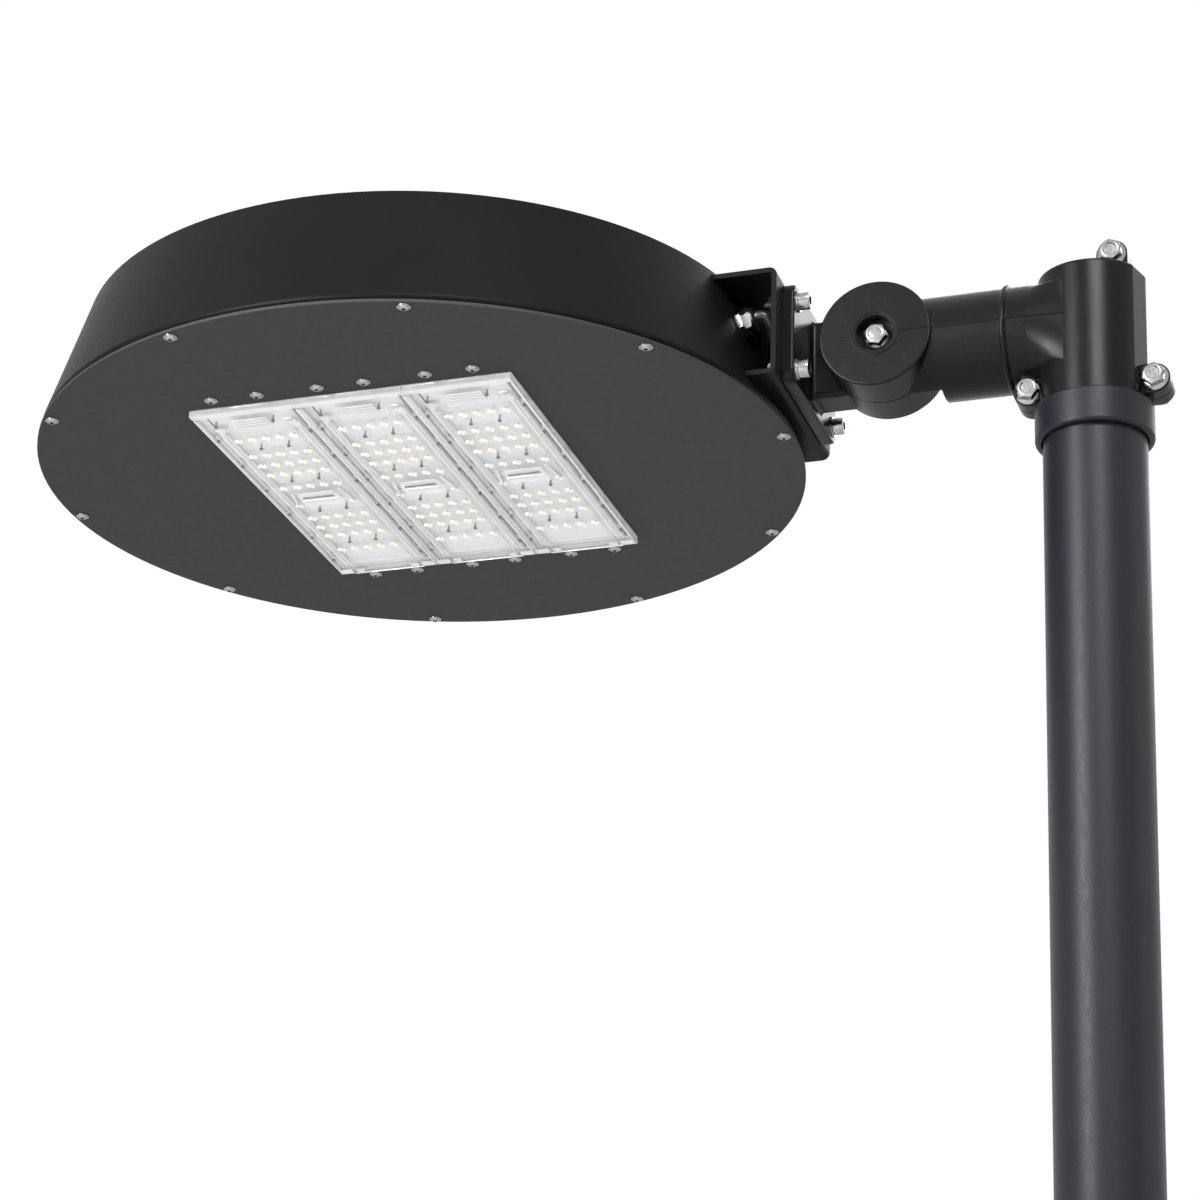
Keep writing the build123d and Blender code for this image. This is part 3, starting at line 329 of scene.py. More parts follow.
def flange_nut():
    """Washer face and bored hexagon of a flange nut, seated at height 0."""
    bore = BOLT_R + 0.05
    shape = turned([
        (bore, 0), *washer_face(NUT_WASHER_R), (HEX_CORNER + 0.2, 2.2), (bore, 2.2), (bore, 0),
    ])
    hexagon = cut_flats(turned([
        (bore, HEX_FOOT), (HEX_CORNER, HEX_FOOT), (HEX_CORNER, NUT_HEIGHT - CHAMFER + 0.3),
        (TOP_R + 0.5, NUT_HEIGHT), (bore + 0.8, NUT_HEIGHT), (bore, NUT_HEIGHT - 0.8), (bore, HEX_FOOT),
    ]), BOLT_AF)
    join(shape, hexagon)
    hexagon.free()
    return shape


for name in ("clamp_bolts", "pivot_bolt"):
    bolts = bmesh.new()
    for count, (low, high) in enumerate(islands(name)):
        seat = Vector(((low.x + high.x) / 2, low.y + BOLT_HEAD, (low.z + high.z) / 2))
        place = stand(seat, (0, -1, 0), 0.35 + 0.8 * count)
        add(bolts, flange_bolt(high.y - seat.y), place)
        add(bolts, hex_head(BOLT_HEAD), place)
    finished(f"{name}_forged", bolts, "slipfitter", name, bright_steel.material)
for name in ("clamp_nuts", "pivot_nut"):
    nuts = bmesh.new()
    for count, (low, high) in enumerate(islands(name)):
        seat = Vector(((low.x + high.x) / 2, low.y, (low.z + high.z) / 2))
        add(nuts, flange_nut(), stand(seat, (0, 1, 0), 0.6 + 0.5 * count))
    finished(f"{name}_forged", nuts, "slipfitter", name, bright_steel.material)

# Four cap screws that hold the knuckle's flange to the bracket, with a washer under each head and
# each nut. Stainless steel; the heads are turned, with a six-sided key socket.
CAP_AF = 6.0
CAP_HEAD = 8.0
CAP_HEAD_R = 6.5
CAP_R = 4.0
CAP_PITCH = 1.25
CAP_THREAD = 15.0
HEX_NUT_AF = 13.0


def key_socket(shape, height, across, depth):
    """Closes a turned head's open top round a six-sided key socket."""
    rim = [edge for edge in shape.edges if edge.is_boundary]
    corners = bmesh.ops.create_circle(
        shape, segments=6, radius=across / sqrt(3), matrix=Matrix.Translation((0, 0, height))
    )["verts"]
    mouth = list({edge for corner in corners for edge in corner.link_edges})
    bmesh.ops.bridge_loops(shape, edges=rim + mouth)
    deep = bmesh.ops.extrude_edge_only(shape, edges=mouth)["geom"]
    floor = [part for part in deep if isinstance(part, bmesh.types.BMVert)]
    bmesh.ops.translate(shape, verts=floor, vec=(0, 0, -depth))
    bmesh.ops.contextual_create(shape, geom=floor)
    bmesh.ops.recalc_face_normals(shape, faces=shape.faces[:])
    return shape


def cap_screw(length):
    """A socket cap screw, seated at height 0."""
    low = 0.8 - length
    high = low + CAP_THREAD
    return key_socket(turned([
        (0, -length), (CAP_R - 1.0, -length), *thread(CAP_R, low, high, CAP_PITCH),
        (CAP_R, high), (CAP_R, 0), (CAP_HEAD_R - 0.2, 0), (CAP_HEAD_R, 0.2),
        (CAP_HEAD_R, CAP_HEAD - 0.8), (CAP_HEAD_R - 0.25, CAP_HEAD - 0.25), (CAP_HEAD_R - 0.8, CAP_HEAD),
        (CAP_AF / 2 + 1.0, CAP_HEAD), (CAP_AF / sqrt(3) + 0.1, CAP_HEAD - 0.3),
    ]), CAP_HEAD - 0.3, CAP_AF, 4.0)


cap_screws = bmesh.new()
for count, (low, high) in enumerate(islands("flange_screws")):
    seat = Vector((high.x - CAP_HEAD, (low.y + high.y) / 2, (low.z + high.z) / 2))
    add(cap_screws, cap_screw(seat.x - low.x), stand(seat, (1, 0, 0), 0.7 * count))
finished("flange_cap_screws", cap_screws, "head", "flange_screws", bright_steel.material)


def hex_nut(height):
    """A plain hexagon nut, chamfered on both faces."""
    bore = CAP_R + 0.05
    mouth = CAP_R + 0.5
    corner = HEX_NUT_AF / sqrt(3)
    return cut_flats(turned([
        (bore, 0.5), (mouth, 0), (corner - 0.9, 0), (corner, 0.6), (corner, height - 0.6),
        (corner - 0.9, height), (mouth, height), (bore, height - 0.5), (bore, 0.5),
    ]), HEX_NUT_AF)


hex_nuts = bmesh.new()
for count, (low, high) in enumerate(islands("flange_nuts")):
    seat = Vector((high.x, (low.y + high.y) / 2, (low.z + high.z) / 2))
    add(hex_nuts, hex_nut(high.x - low.x), stand(seat, (-1, 0, 0), 0.4 + 0.9 * count))
finished("flange_hex_nuts", hex_nuts, "head", "flange_nuts", bright_steel.material)
dress(bright_steel.material, "flange_washers")

# Side bracket and drum. Folded and spun sheet under a smoother satin black coat than the castings.
sheet_coat = coat(
    "sheet_coat", (0.003, 0.003, 0.003), (0.005, 0.005, 0.005), 0.44, 0.00006, 0.0008,
    specular_ior_level=0.07,
)
dress(sheet_coat, "side_bracket", "drum_shell")

# Cover plate that closes the drum from below. Flat sheet with a matt charcoal coat; its screws are
# stainless button heads, and the same ones hold the LED modules.
plate_coat = coat(
    "plate_coat", (0.024, 0.024, 0.024), (0.030, 0.030, 0.030), 0.60, 0.00006, 0.0004,
    specular_ior_level=0.15,
)
dress(plate_coat, "cover_plate")
BUTTON_R = 5.3
BUTTON_HEAD = 2.4
BUTTON_AF = 3.0
SCREW_STEPS = 24


def button_screw(length):
    """A button head screw with a pressed washer rim and a key socket, seated at height 0."""
    return key_socket(turned([
        (0, -length), (1.6, -length), (2.0, 0.4 - length), (2.0, 0),
        (BUTTON_R - 0.2, 0), (BUTTON_R, 0.2), (BUTTON_R - 0.1, 0.7), (BUTTON_R - 0.7, 0.9),
        (BUTTON_R - 1.2, 0.8), (BUTTON_R - 1.5, 1.5), (BUTTON_R - 2.3, 2.1),
        (BUTTON_AF / sqrt(3) + 0.3, BUTTON_HEAD),
    ], SCREW_STEPS), BUTTON_HEAD, BUTTON_AF, 1.5)


for name in ("cover_screws", "module_screws"):
    screws = bmesh.new()
    for count, (low, high) in enumerate(islands(name)):
        seat = Vector(((low.x + high.x) / 2, (low.y + high.y) / 2, low.z + BUTTON_HEAD))
        add(screws, button_screw(high.z - seat.z), stand(seat, (0, 0, -1), 0.6 * count))
    finished(f"{name}_button", screws, "head", name, bright_steel.material)

# Gasket, seals, washer and grommet of matt black rubber, which sit in the joints that they close,
# and the supply cable, whose black jacket is a little glossier.
rubber = coat("rubber", (0.008, 0.008, 0.008), (0.013, 0.013, 0.013), 0.66, 0.00008, 0.0)
dress(rubber, "cover_gasket", "lens_seals", "gland_washer", "wire_grommet")
jacket = coat("cable_jacket", (0.010, 0.010, 0.010), (0.016, 0.016, 0.016), 0.34, 0.00004, 0.0)
dress(jacket, "supply_cable")

# Gear tray, driver, surge protector and terminal block inside the drum. The tray and the driver's
# case are galvanised sheet, the other two are grey plastic, and nuts hold the tray down.
grey_plastic = Finish("grey_plastic", roughness=0.5)
grey_plastic.mottle(80.0, (0.50, 0.50, 0.49), (0.58, 0.58, 0.56))
tray_metal = Finish("tray_metal", metallic=1.0)
tray_metal.mottle(60.0, (0.50, 0.50, 0.50), (0.62, 0.62, 0.61))
tray_metal.feed("Roughness", tray_metal.noise(300.0) * 0.3 + 0.25)
dress(tray_metal.material, "gear_tray", "led_driver", "tray_nuts")
dress(grey_plastic.material, "surge_protector", "terminal_block")

# LED modules: a finned sink of pale aluminium, with a white board screwed to its flat face. The
# board carries rows of chips, each under a cream phosphor.
sink_metal = Finish("sink_metal", roughness=0.4)
sink_metal.mottle(60.0, (0.80, 0.80, 0.81), (0.88, 0.88, 0.88))
board_white = Finish("board_white", roughness=0.45)
board_white.mottle(90.0, (0.70, 0.71, 0.72), (0.78, 0.79, 0.79))
chip_cream = Finish("chip_cream", roughness=0.35)
chip_cream.mottle(2500.0, (0.86, 0.82, 0.70), (0.90, 0.87, 0.78))
MODULES = (1, 2, 3)
for number in MODULES:
    dress(sink_metal.material, f"module_heatsink_{number}")
    dress(board_white.material, f"led_board_{number}")
    dress(chip_cream.material, f"led_chips_{number}")

# Clear cover of an LED module, moulded in one with a lens over each chip. It has a pale strip at its
# front end, a channel down each side, a raised bridge in the middle, and two clips and two bosses at
# its rear end. Sizes are in millimetres from the module's middle.
SMALL_HEAD = 1.2
cover_low, cover_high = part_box("lens_cover_1")
COVER_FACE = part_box("lens_screws")[0].z / MM + SMALL_HEAD
COVER_SIDE = (cover_high.x - cover_low.x) / 2 / MM
COVER_END = (cover_high.y - cover_low.y) / 2 / MM
COVER_DEPTH = cover_high.z / MM - COVER_FACE
COVER_WALL = 1.4
STRIP = 7.5
CHANNEL_IN = 28.0
CHANNEL_OUT = 35.5
CHANNEL_SINK = 1.1
CHANNEL_FAR = 146.0
WINDOW_NEAR = -131.0
WINDOW_CORNER = 11.0
RIDGE_NEAR = WINDOW_NEAR + WINDOW_CORNER
BRIDGE_HALF = 20.0
BRIDGE_NEAR = -8.0
BRIDGE_FAR = 20.0
BRIDGE_RISE = 3.0
# Cover slots: PAINTED_GLARE is a mirror white that paints glints and bright edge lines, and SLIT_SHADE
# is a dark bar of painted shade.
CLEAR, PALE, PAINTED_GLARE, WARM, MILKY, SLIT_SHADE = range(6)


def moulding(name, roughness, alpha, scale, dark, light):
    """A moulded plastic that lets part of the view through."""
    finish = Finish(name, roughness=roughness, alpha=alpha, specular_ior_level=0.7)
    finish.mottle(scale, dark, light)
    return finish


clear_moulding = moulding("clear_moulding", 0.16, 0.14, 45.0, (0.88, 0.89, 0.90), (0.95, 0.95, 0.95))
clear_moulding.relief(clear_moulding.noise(90.0, 2.0), 0.0002)
# The pale moulding is less clear; on the channels and the ridges along them its pale tone is painted
# light, for the bright lines of the clear plastic and over the shade in the channels.
pale_moulding = moulding("pale_moulding", 0.20, 0.72, 60.0, (0.72, 0.73, 0.74), (0.84, 0.84, 0.84))
milky_moulding = moulding("milky_moulding", 0.15, 0.45, 60.0, (0.88, 0.89, 0.90), (0.95, 0.95, 0.95))
# Painted glare: a mirror white that stands for the glints of the lenses and the bright lines along the
# cover's edges.
lens_painted_glare = Finish("lens_painted_glare", metallic=1.0)
lens_painted_glare.mottle(300.0, (0.90, 0.91, 0.92), (1.0, 1.0, 1.0))
lens_painted_glare.feed("Roughness", lens_painted_glare.noise(500.0) * 0.2 + 0.15)
lens_warm = Finish("lens_warm", roughness=0.3)
lens_warm.mottle(700.0, (0.92, 0.80, 0.52), (0.97, 0.92, 0.76))
dark_steel = Finish("dark_steel", metallic=1.0)
dark_steel.mottle(900.0, (0.12, 0.12, 0.122), (0.36, 0.36, 0.36))
dark_steel.feed("Roughness", dark_steel.noise(500.0) * 0.2 + 0.25)


def cells(shape, choose):
    """The faces whose middle is in a region."""
    return [face for face in shape.faces if choose(face.calc_center_median())]


def slice_at(shape, geometry, point, normal):
    """Divides part of a flat sheet along a line, so that regions can be raised or sunk."""
    bmesh.ops.bisect_plane(shape, geom=geometry, dist=0.001, plane_co=point, plane_no=normal)


def raise_region(shape, faces, taper, rise, material):
    """Moves a region outwards by a rise, or inwards if it is negative, with sloped sides."""
    bmesh.ops.inset_region(shape, faces=faces, thickness=taper, depth=rise, use_even_offset=True)
    for face in faces:
        face.material_index = material


def cover_sheet():
    """The cover's face as one sheet, facing down, with its regions sunk and raised."""
    sheet = bmesh.new()
    size = Matrix.Diagonal((COVER_SIDE, COVER_END, 1, 1))
    bmesh.ops.create_grid(sheet, x_segments=1, y_segments=1, size=1.0, matrix=size)
    bmesh.ops.reverse_faces(sheet, faces=sheet.faces[:])
    strip_far = STRIP - COVER_END
    for x in (-CHANNEL_OUT, -CHANNEL_IN, -BRIDGE_HALF, BRIDGE_HALF, CHANNEL_IN, CHANNEL_OUT):
        slice_at(sheet, sheet.verts[:] + sheet.edges[:] + sheet.faces[:], (x, 0, 0), (1, 0, 0))
    for y in (strip_far, WINDOW_NEAR, RIDGE_NEAR, BRIDGE_NEAR, BRIDGE_FAR, CHANNEL_FAR):
        slice_at(sheet, sheet.verts[:] + sheet.edges[:] + sheet.faces[:], (0, y, 0), (0, 1, 0))

    # the window's two near corners are cut off, and the channels widen into them
    corner = (CHANNEL_IN - BRIDGE_HALF) / WINDOW_CORNER
    for side in (-1, 1):
        column = cells(sheet, lambda at: BRIDGE_HALF < at.x * side < CHANNEL_IN)
        cut = [face for face in column if WINDOW_NEAR < face.calc_center_median().y < RIDGE_NEAR]
        ends = list(dict.fromkeys(vert for face in cut for vert in face.verts))
        lines = list(dict.fromkeys(line for face in cut for line in face.edges))
        start = (side * BRIDGE_HALF, WINDOW_NEAR, 0)
        slice_at(sheet, ends + lines + cut, start, (1, -side * corner, 0))

    def in_channel(at):
        across = abs(at.x)
        if not WINDOW_NEAR < at.y < CHANNEL_FAR or across > CHANNEL_OUT:
            return False
        return across > CHANNEL_IN or across - BRIDGE_HALF > (at.y - WINDOW_NEAR) * corner

    # The channels are drawn in the pale moulding: painted light over the shade that falls in them.
    for side in (-1, 1):
        channel = cells(sheet, lambda at: in_channel(at) and at.x * side > 0)
        raise_region(sheet, channel, 1.4, -CHANNEL_SINK, PALE)
    bridge = cells(sheet, lambda at: abs(at.x) < BRIDGE_HALF and BRIDGE_NEAR < at.y < BRIDGE_FAR)
    raise_region(sheet, bridge, 3.6, BRIDGE_RISE, MILKY)
    strip = cells(sheet, lambda at: at.y < strip_far)
    raise_region(sheet, strip, 0.8, 0.7, PALE)
    return sheet


def moulded_cover():
    """The sheet with rounded creases and a wall, and its rim turned up to the sink."""
    sheet = cover_sheet()
    folds = [edge for edge in sheet.edges if not edge.is_boundary]
    creases = [edge for edge in folds if edge.calc_face_angle() > radians(15)]
    bmesh.ops.bevel(
        sheet, geom=creases, offset=0.35, segments=2, profile=0.5, affect="EDGES", material=-1,
        clamp_overlap=True,
    )
    rim = [edge for edge in sheet.edges if edge.is_boundary]
    turned_up = bmesh.ops.extrude_edge_only(sheet, edges=rim)["geom"]
    upper = [part for part in turned_up if isinstance(part, bmesh.types.BMVert)]
    bmesh.ops.translate(sheet, verts=upper, vec=(0, 0, COVER_DEPTH))
    for part in turned_up:
        if isinstance(part, bmesh.types.BMFace):
            part.material_index = MILKY
    bmesh.ops.recalc_face_normals(sheet, faces=sheet.faces[:])
    bmesh.ops.solidify(sheet, geom=sheet.faces[:], thickness=COVER_WALL)
    bmesh.ops.recalc_face_normals(sheet, faces=sheet.faces[:])
    return sheet


def bar(middle, size, material, edge=0.3, turn=0.0):
    """Adds a small moulded block with rounded edges to the cover."""
    block = bmesh.new()
    bmesh.ops.create_cube(block, size=1.0, matrix=Matrix.Diagonal((*size, 1)))
    bmesh.ops.bevel(
        block, geom=block.edges[:], offset=edge, segments=2, profile=0.5, affect="EDGES", material=-1
    )
    for face in block.faces:
        face.material_index = material
    join(cover, block, Matrix.Translation(middle) @ Matrix.Rotation(turn, 4, "Z"))
    block.free()


RIBS = 4
RIB_PITCH = 4.25
RIB_LENGTH = 30.0
STUDS = (-30.0, 17.0)
STUD_Y = -136.0
FRONT_WIDTH = 2 * COVER_SIDE - 0.4
RIDGE_LENGTH = CHANNEL_FAR - RIDGE_NEAR
RIDGE_Y = RIDGE_NEAR + RIDGE_LENGTH / 2
SIDE_LENGTH = 2 * COVER_END - 10.0
cover = moulded_cover()

# front end: a lip against the plate whose bright line is painted glare, a ribbed panel, and an angled
# mark beside it, white in painted glare
for rib in range(RIBS):
    rib_y = STUD_Y + (rib - (RIBS - 1) / 2) * RIB_PITCH
    bar((0, rib_y, -0.4), (RIB_LENGTH, RIB_PITCH - 1.2, 1.2), PALE)
bar((0, 0.5 - COVER_END, COVER_DEPTH - 1.2), (FRONT_WIDTH, 0.9, 1.8), PAINTED_GLARE)
bar((0, 0.6 - COVER_END, 0.0), (FRONT_WIDTH, 1.0, 1.0), MILKY)
bar((30.0, STUD_Y - 1.5, -0.4), (7.0, 1.6, 1.0), PAINTED_GLARE)
bar((33.0, STUD_Y + 5.0, -0.4), (1.8, 4.0, 1.0), PAINTED_GLARE)

# both sides: three ridges along the channel and two along the edge, whose bright lines are painted
# highlight, the outer edge one in painted glare; one across the window's corner, a clip and a boss at
# the rear end, and a foot of the bridge
for side in (-1, 1):
    bar((side * (CHANNEL_IN - 1.0), RIDGE_Y, -0.3), (1.0, RIDGE_LENGTH, 1.0), PALE)
    bar((side * (CHANNEL_IN + 3.7), RIDGE_Y, 0.9), (1.0, RIDGE_LENGTH - 4.0, 1.0), PALE)
    bar((side * (CHANNEL_OUT + 0.6), RIDGE_Y, -0.2), (0.8, RIDGE_LENGTH, 0.8), PALE)
    bar((side * (COVER_SIDE - 0.6), 4.0, -0.2), (1.0, SIDE_LENGTH, 1.0), PAINTED_GLARE)
    bar((side * (COVER_SIDE - 2.0), 4.0, 0.0), (1.2, SIDE_LENGTH - 2.0, 0.6), PALE, 0.25)
    bar((side * 23.6, RIDGE_NEAR - 6.0, -0.3), (1.0, 14.0, 1.0), PALE, 0.3, side * 0.63)
    bar((side * 36.0, COVER_END - 6.0, -0.7), (11.0, 6.5, 1.8), PALE, 0.5)
    bar((side * 24.0, COVER_END - 5.0, -0.5), (7.0, 7.0, 1.4), MILKY, 0.6)
    bar((side * (BRIDGE_HALF + 2.0), 5.0, -0.9), (2.6, 26.0, 2.4), PALE, 0.8, -side * 0.16)

# the bridge's front step, its slit drawn as a dark bar of painted shade, a rib in painted glare and a
# plain one, and two steps across the rear end, the last in painted glare
bar((0, BRIDGE_NEAR + 2.5, -1.9), (30.0, 3.0, 1.8), MILKY, 0.5)
bar((0, BRIDGE_NEAR + 7.5, -BRIDGE_RISE), (26.0, 2.8, 0.7), SLIT_SHADE, 0.25)
bar((0, BRIDGE_NEAR + 12.0, -BRIDGE_RISE - 0.2), (31.0, 2.4, 1.2), PAINTED_GLARE)
bar((0, BRIDGE_NEAR + 16.0, -BRIDGE_RISE), (29.0, 2.0, 0.9), PALE)
bar((0, CHANNEL_FAR - 10.0, -0.1), (42.0, 1.2, 0.6), PALE, 0.25)
bar((0, COVER_END - 0.7, -0.3), (2 * COVER_SIDE - 24.0, 1.2, 1.2), PAINTED_GLARE)

CHIP_PITCH = 11.4
COLUMNS = [CHIP_PITCH * place for place in (-2, -1, 0, 1, 2)]
REAR_ROWS = (17.0, 43.0, 61.0, 79.0, 108.0)
ROWS = [-row for row in reversed(REAR_ROWS)] + list(REAR_ROWS)
LENS_STEPS = 12


def lens_lobe(radius, height, material, stretch):
    """One lobe of a lens: a low dome that points down, longer along X by a stretch."""
    lobe = turned([
        (0, 0.4), (radius, 0.4), (radius, 0), (radius * 0.88, -height * 0.45),
        (radius * 0.6, -height * 0.83), (0, -height),
    ], LENS_STEPS)
    bmesh.ops.scale(lobe, vec=(stretch, 1, 1), verts=lobe.verts[:])
    for face in lobe.faces:
        face.material_index = material
    return lobe


# Each lens: a clear lobe, a warm lobe for the chip's colour, and a lobe of painted glare for its glint.
LOBES = (
    ((0.0, 0.0, 0), lens_lobe(3.2, 2.3, CLEAR, 1.35)),
    ((0.9, 1.1, 0), lens_lobe(2.0, 2.2, WARM, 1.2)),
    ((-1.5, -1.1, 0), lens_lobe(2.0, 2.4, PAINTED_GLARE, 1.3)),
)
for y in ROWS:
    for x in COLUMNS:
        if abs(x) < BRIDGE_HALF and BRIDGE_NEAR - 2 < y < BRIDGE_FAR + 2:
            continue
        for offset, lobe in LOBES:
            join(cover, lobe, Matrix.Translation(Vector((x, y, 0)) + Vector(offset)))

BOSS_X = 38.2
BOSS_BORE = 1.3
BOSS_R = 2.9
BOSS_FOOT = 0.6
BOSS_TOP = 4.4
SMALL_STEPS = 16
BOSS_PITCH = 48.0
BOSS_NEAR = -112.0
BOSS_ROWS = [BOSS_NEAR + BOSS_PITCH * place for place in range(6)]
boss = turned([
    (BOSS_BORE, BOSS_FOOT), (BOSS_R, BOSS_FOOT), (BOSS_R, BOSS_TOP), (BOSS_BORE, BOSS_TOP),
    (BOSS_BORE, BOSS_FOOT),
], SMALL_STEPS)
for face in boss.faces:
    face.material_index = PALE
for x in (-BOSS_X, BOSS_X):
    for y in BOSS_ROWS:
        join(cover, boss, Matrix.Translation((x, y, 0)))


def module_middle(number):
    low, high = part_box(f"lens_cover_{number}")
    return (low + high) / 2 / MM


for number in MODULES:
    middle = module_middle(number)
    shell = bmesh.new()
    add(shell, cover, Matrix.Translation((middle.x, middle.y, COVER_FACE)))
    finished(
        f"lens_cover_{number}_moulded", shell, "head", f"lens_cover_{number}",
        clear_moulding.material, pale_moulding.material, lens_painted_glare.material,
        lens_warm.material, milky_moulding.material, dark_steel.material, sharp=40,
    )

# Small dark pan head screws. A row down each side holds the cover, eight hold the board to the
# sink, and two stand as studs at the front end.
BOARD_SCREWS = [(side * CHIP_PITCH, y) for side in (-1, 1) for y in (-91.0, -29.0, 30.0, 95.0)]
INNER_SCREWS = BOARD_SCREWS + [(x, STUD_Y) for x in STUDS]
INNER_LENGTH = 4.0


def small_screw(length):
    """A small pan head screw with a key socket, seated at height 0."""
    return key_socket(turned([
        (0, -length), (0.8, -length), (0.8, 0), (1.5, 0), (1.6, 0.25), (1.5, 0.8), (1.2, SMALL_HEAD),
        (1.0, SMALL_HEAD),
    ], SMALL_STEPS), SMALL_HEAD, 1.4, 0.6)


small_screws = bmesh.new()
for count, (low, high) in enumerate(islands("lens_screws")):
    seat = Vector(((low.x + high.x) / 2, (low.y + high.y) / 2, low.z + SMALL_HEAD))
    add(small_screws, small_screw(high.z - seat.z), stand(seat, (0, 0, -1), 0.5 * count))
for number in MODULES:
    middle = module_middle(number)
    for x, y in INNER_SCREWS:
        seat = Vector((middle.x + x, middle.y + y, COVER_FACE))
        add(small_screws, small_screw(INNER_LENGTH), stand(seat, (0, 0, -1)))
finished("lens_screws_pan", small_screws, "head", "lens_screws", dark_steel.material)

# Cable gland, square on the drum's leaning wall. Nickel-plated brass: a hexagon body on its rubber
# washer, and a hexagon cap with a rounded nose that the cable goes into.
nickel = Finish("nickel", metallic=1.0)
nickel.mottle(400.0, (0.34, 0.335, 0.325), (0.62, 0.61, 0.59))
nickel.feed("Roughness", nickel.noise(700.0) * 0.2 + 0.12)
washer_low, washer_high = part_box("gland_washer")
drum_low, drum_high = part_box("cover_plate")
WASHER_HALF = 0.6
WALL_RUN = 32.0
WALL_RISE = 103.0
WALL_LEAN = atan2(WALL_RUN, WALL_RISE)
washer_middle = (washer_low + washer_high) / 2 / MM
level_out = washer_middle - (drum_low + drum_high) / 2 / MM
level_out.z = 0
level_out.normalize()
GLAND_OUT = level_out * cos(WALL_LEAN) + Vector((0, 0, sin(WALL_LEAN)))
GLAND_SEAT = washer_middle + GLAND_OUT * WASHER_HALF
GLAND_AF = 18.0
GLAND_CORNER = GLAND_AF / sqrt(3)
BODY_BORE = 4.2
BODY_HEIGHT = 4.0
CAP_BORE = 4.15
CAP_CORNER = GLAND_CORNER - 0.1
NOSE = 13.2
gland_body = cut_flats(turned([
    (BODY_BORE, 0), (GLAND_CORNER - 0.9, 0), (GLAND_CORNER, 0.7), (GLAND_CORNER, BODY_HEIGHT - 0.6),
    (GLAND_CORNER - 0.9, BODY_HEIGHT), (BODY_BORE, BODY_HEIGHT), (BODY_BORE, 0),
]), GLAND_AF)
gland_cap = cut_flats(turned([
    (CAP_BORE, BODY_HEIGHT), (CAP_CORNER - 1.3, BODY_HEIGHT), (CAP_CORNER, BODY_HEIGHT + 1.0),
    (CAP_CORNER, NOSE - 4.2), (CAP_CORNER - 1.3, NOSE - 2.8), (8.0, NOSE - 1.6), (7.0, NOSE - 0.6),
    (5.2, NOSE), (CAP_BORE, NOSE - 0.6), (CAP_BORE, BODY_HEIGHT),
]), GLAND_AF - 0.2)
for name, shape, turn in (("gland_body", gland_body, 0.2), ("gland_cap", gland_cap, 0.5)):
    gland = bmesh.new()
    add(gland, shape, stand(GLAND_SEAT, GLAND_OUT, turn))
    finished(f"{name}_turned", gland, "head", name, nickel.material)
dress(nickel.material, "gland_lock_nut")

# Floor under the pole. It fades out a few metres away. From below it lets the light and the view
# through, because the photograph looks up from under the level of the pole's lower end.
FLOOR_HALF = 5.0
FADE_FROM = 1.5
FADE_TO = 4.5
floor_shape = bmesh.new()
bmesh.ops.create_grid(floor_shape, x_segments=1, y_segments=1, size=FLOOR_HALF)
floor_mesh = bpy.data.meshes.new("studio_floor")
floor_shape.to_mesh(floor_mesh)
floor_shape.free()
floor = bpy.data.objects.new("studio_floor", floor_mesh)
bpy.context.scene.collection.objects.link(floor)
floor_paint = Finish("floor_paint", base_color=(0.74, 0.74, 0.74, 1), roughness=0.9)
through = floor_paint.node("ShaderNodeBsdfTransparent", {}, {})
under = floor_paint.node("ShaderNodeNewGeometry", {}, {}, "Backfacing")
away = floor_paint.node("ShaderNodeVectorMath", {"operation": "LENGTH"}, {0: floor_paint.place}, 1)
faded = floor_paint.node(
    "ShaderNodeMapRange", {}, {"Value": away, "From Min": FADE_FROM, "From Max": FADE_TO}
)
painted = Signal(floor_paint, floor_paint.shader.outputs[0])
one_sided = floor_paint.node("ShaderNodeMixShader", {}, {0: under + faded, 1: painted, 2: through})
surface = floor_paint.tree.nodes["Material Output"].inputs["Surface"]
floor_paint.tree.links.new(one_sided.socket, surface)
floor_mesh.materials.append(floor_paint.material)

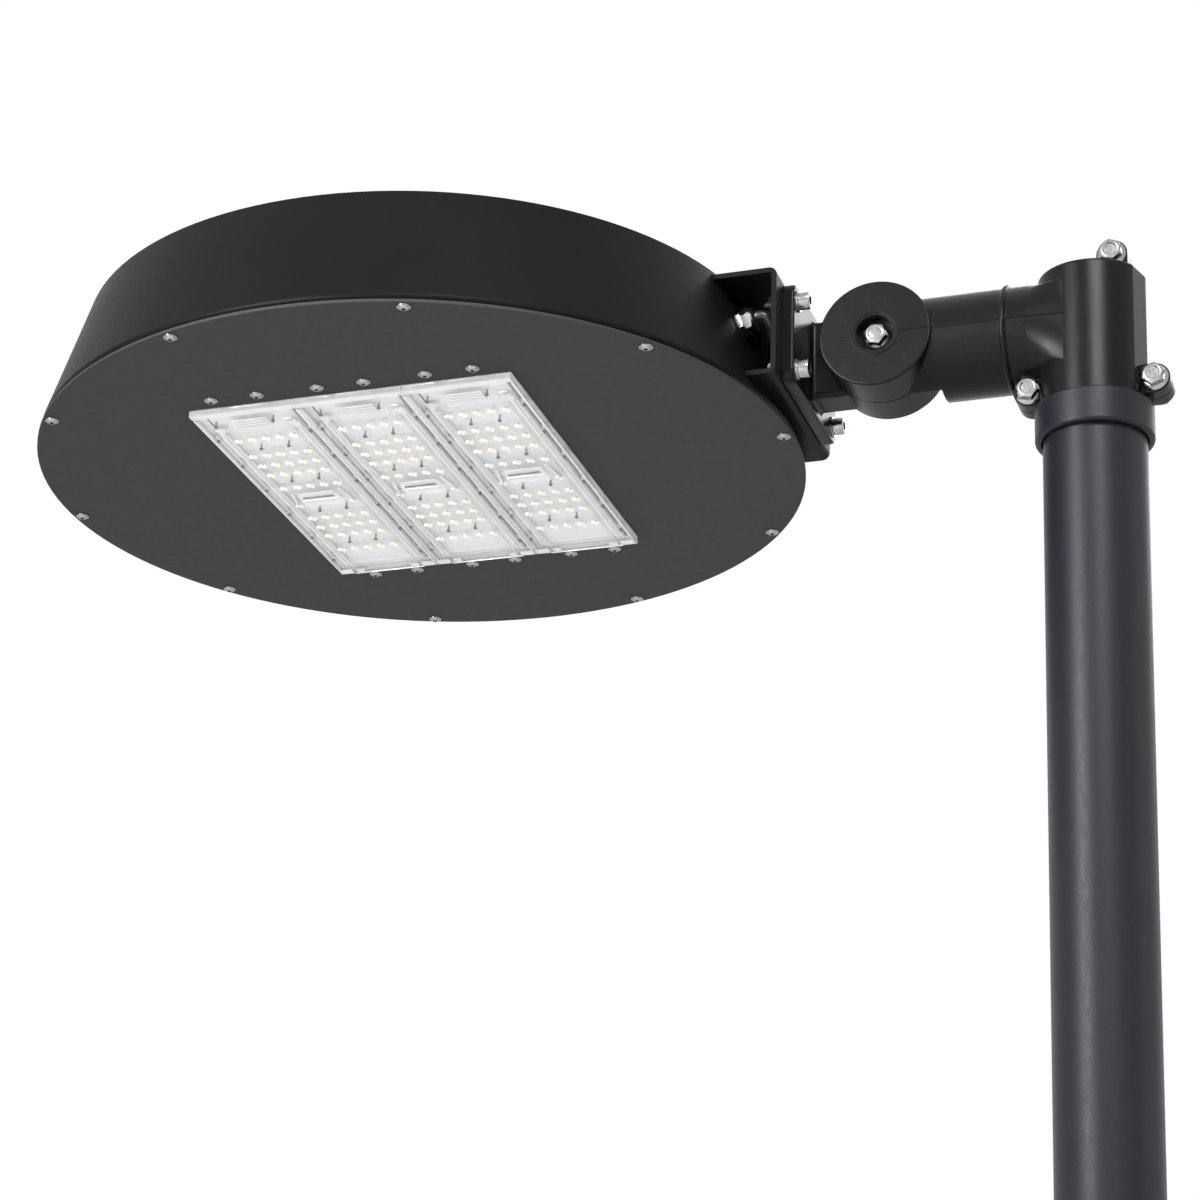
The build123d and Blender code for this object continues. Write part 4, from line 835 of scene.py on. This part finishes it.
# Studio light: a tall lamp at the left front for the pole's highlight, a small high one in front for
# the socket's, a narrow one far to the right for the right-hand edges, and a broad one behind.
LAMPS = (
    ("key_lamp", (-1.56, -2.44, 1.10), (0.45, 1.3), 112.0),
    ("high_lamp", (0.85, -2.58, 2.25), (0.75, 0.60), 80.0),
    ("edge_lamp", (2.9, 0.4, 0.9), (0.5, 2.2), 8.0),
    ("rear_lamp", (0.2, 2.8, 2.4), (2.2, 1.6), 26.0),
)
LAMP_AIM = Vector((-0.2, 0.0, 0.6))
for name, spot, (wide, tall), power in LAMPS:
    lamp = bpy.data.lights.new(name, "AREA")
    lamp.shape = "RECTANGLE"
    lamp.size = wide
    lamp.size_y = tall
    lamp.energy = power
    holder = bpy.data.objects.new(name, lamp)
    holder.location = spot
    holder.rotation_euler = (LAMP_AIM - Vector(spot)).to_track_quat("-Z", "Y").to_euler()
    bpy.context.scene.collection.objects.link(holder)

# White background for the camera and for what metal and clear plastic show; the light that it
# gives to matt surfaces is a little weaker.
AMBIENT = 0.70
world = bpy.data.worlds.new("studio")
world.use_nodes = True
bpy.context.scene.world = world
sky = world.node_tree
ray = sky.nodes.new("ShaderNodeLightPath")
mirrored = sky.nodes.new("ShaderNodeMath")
mirrored.operation = "MAXIMUM"
sky.links.new(ray.outputs["Is Glossy Ray"], mirrored.inputs[0])
sky.links.new(ray.outputs["Is Transmission Ray"], mirrored.inputs[1])
seen = sky.nodes.new("ShaderNodeMath")
seen.operation = "MAXIMUM"
sky.links.new(ray.outputs["Is Camera Ray"], seen.inputs[0])
sky.links.new(mirrored.outputs[0], seen.inputs[1])
level = sky.nodes.new("ShaderNodeMapRange")
level.inputs["To Min"].default_value = AMBIENT
sky.links.new(seen.outputs[0], level.inputs["Value"])
backdrop = sky.nodes["Background"]
backdrop.inputs["Color"].default_value = (1, 1, 1, 1)
sky.links.new(level.outputs[0], backdrop.inputs["Strength"])

# Camera where the photograph was taken from: low, in front of the pole's foot, looking up. The
# focal length is in pixels of the photograph.
PHOTO_WIDTH = 1200.0
FOCAL_PIXELS = 3674.0
YAW = radians(111.30)
PITCH = radians(19.52)
ROLL = radians(2.63)
SHIFT = 0.15
view = bpy.data.cameras.new("photo_camera")
view.sensor_width = 36.0
view.lens = FOCAL_PIXELS / PHOTO_WIDTH * view.sensor_width
view.shift_x = SHIFT
view.shift_y = SHIFT
view.clip_start = 0.05
view.clip_end = 60.0
camera = bpy.data.objects.new("photo_camera", view)
camera.location = (0.4380, -2.4498, -0.5648)
heading = Vector((cos(YAW) * cos(PITCH), sin(YAW) * cos(PITCH), sin(PITCH)))
camera.rotation_mode = "QUATERNION"
camera.rotation_quaternion = heading.to_track_quat("-Z", "Y") @ Quaternion((0, 0, 1), ROLL)
bpy.context.scene.collection.objects.link(camera)
bpy.context.scene.camera = camera

bpy.context.scene.view_settings.view_transform = "Standard"
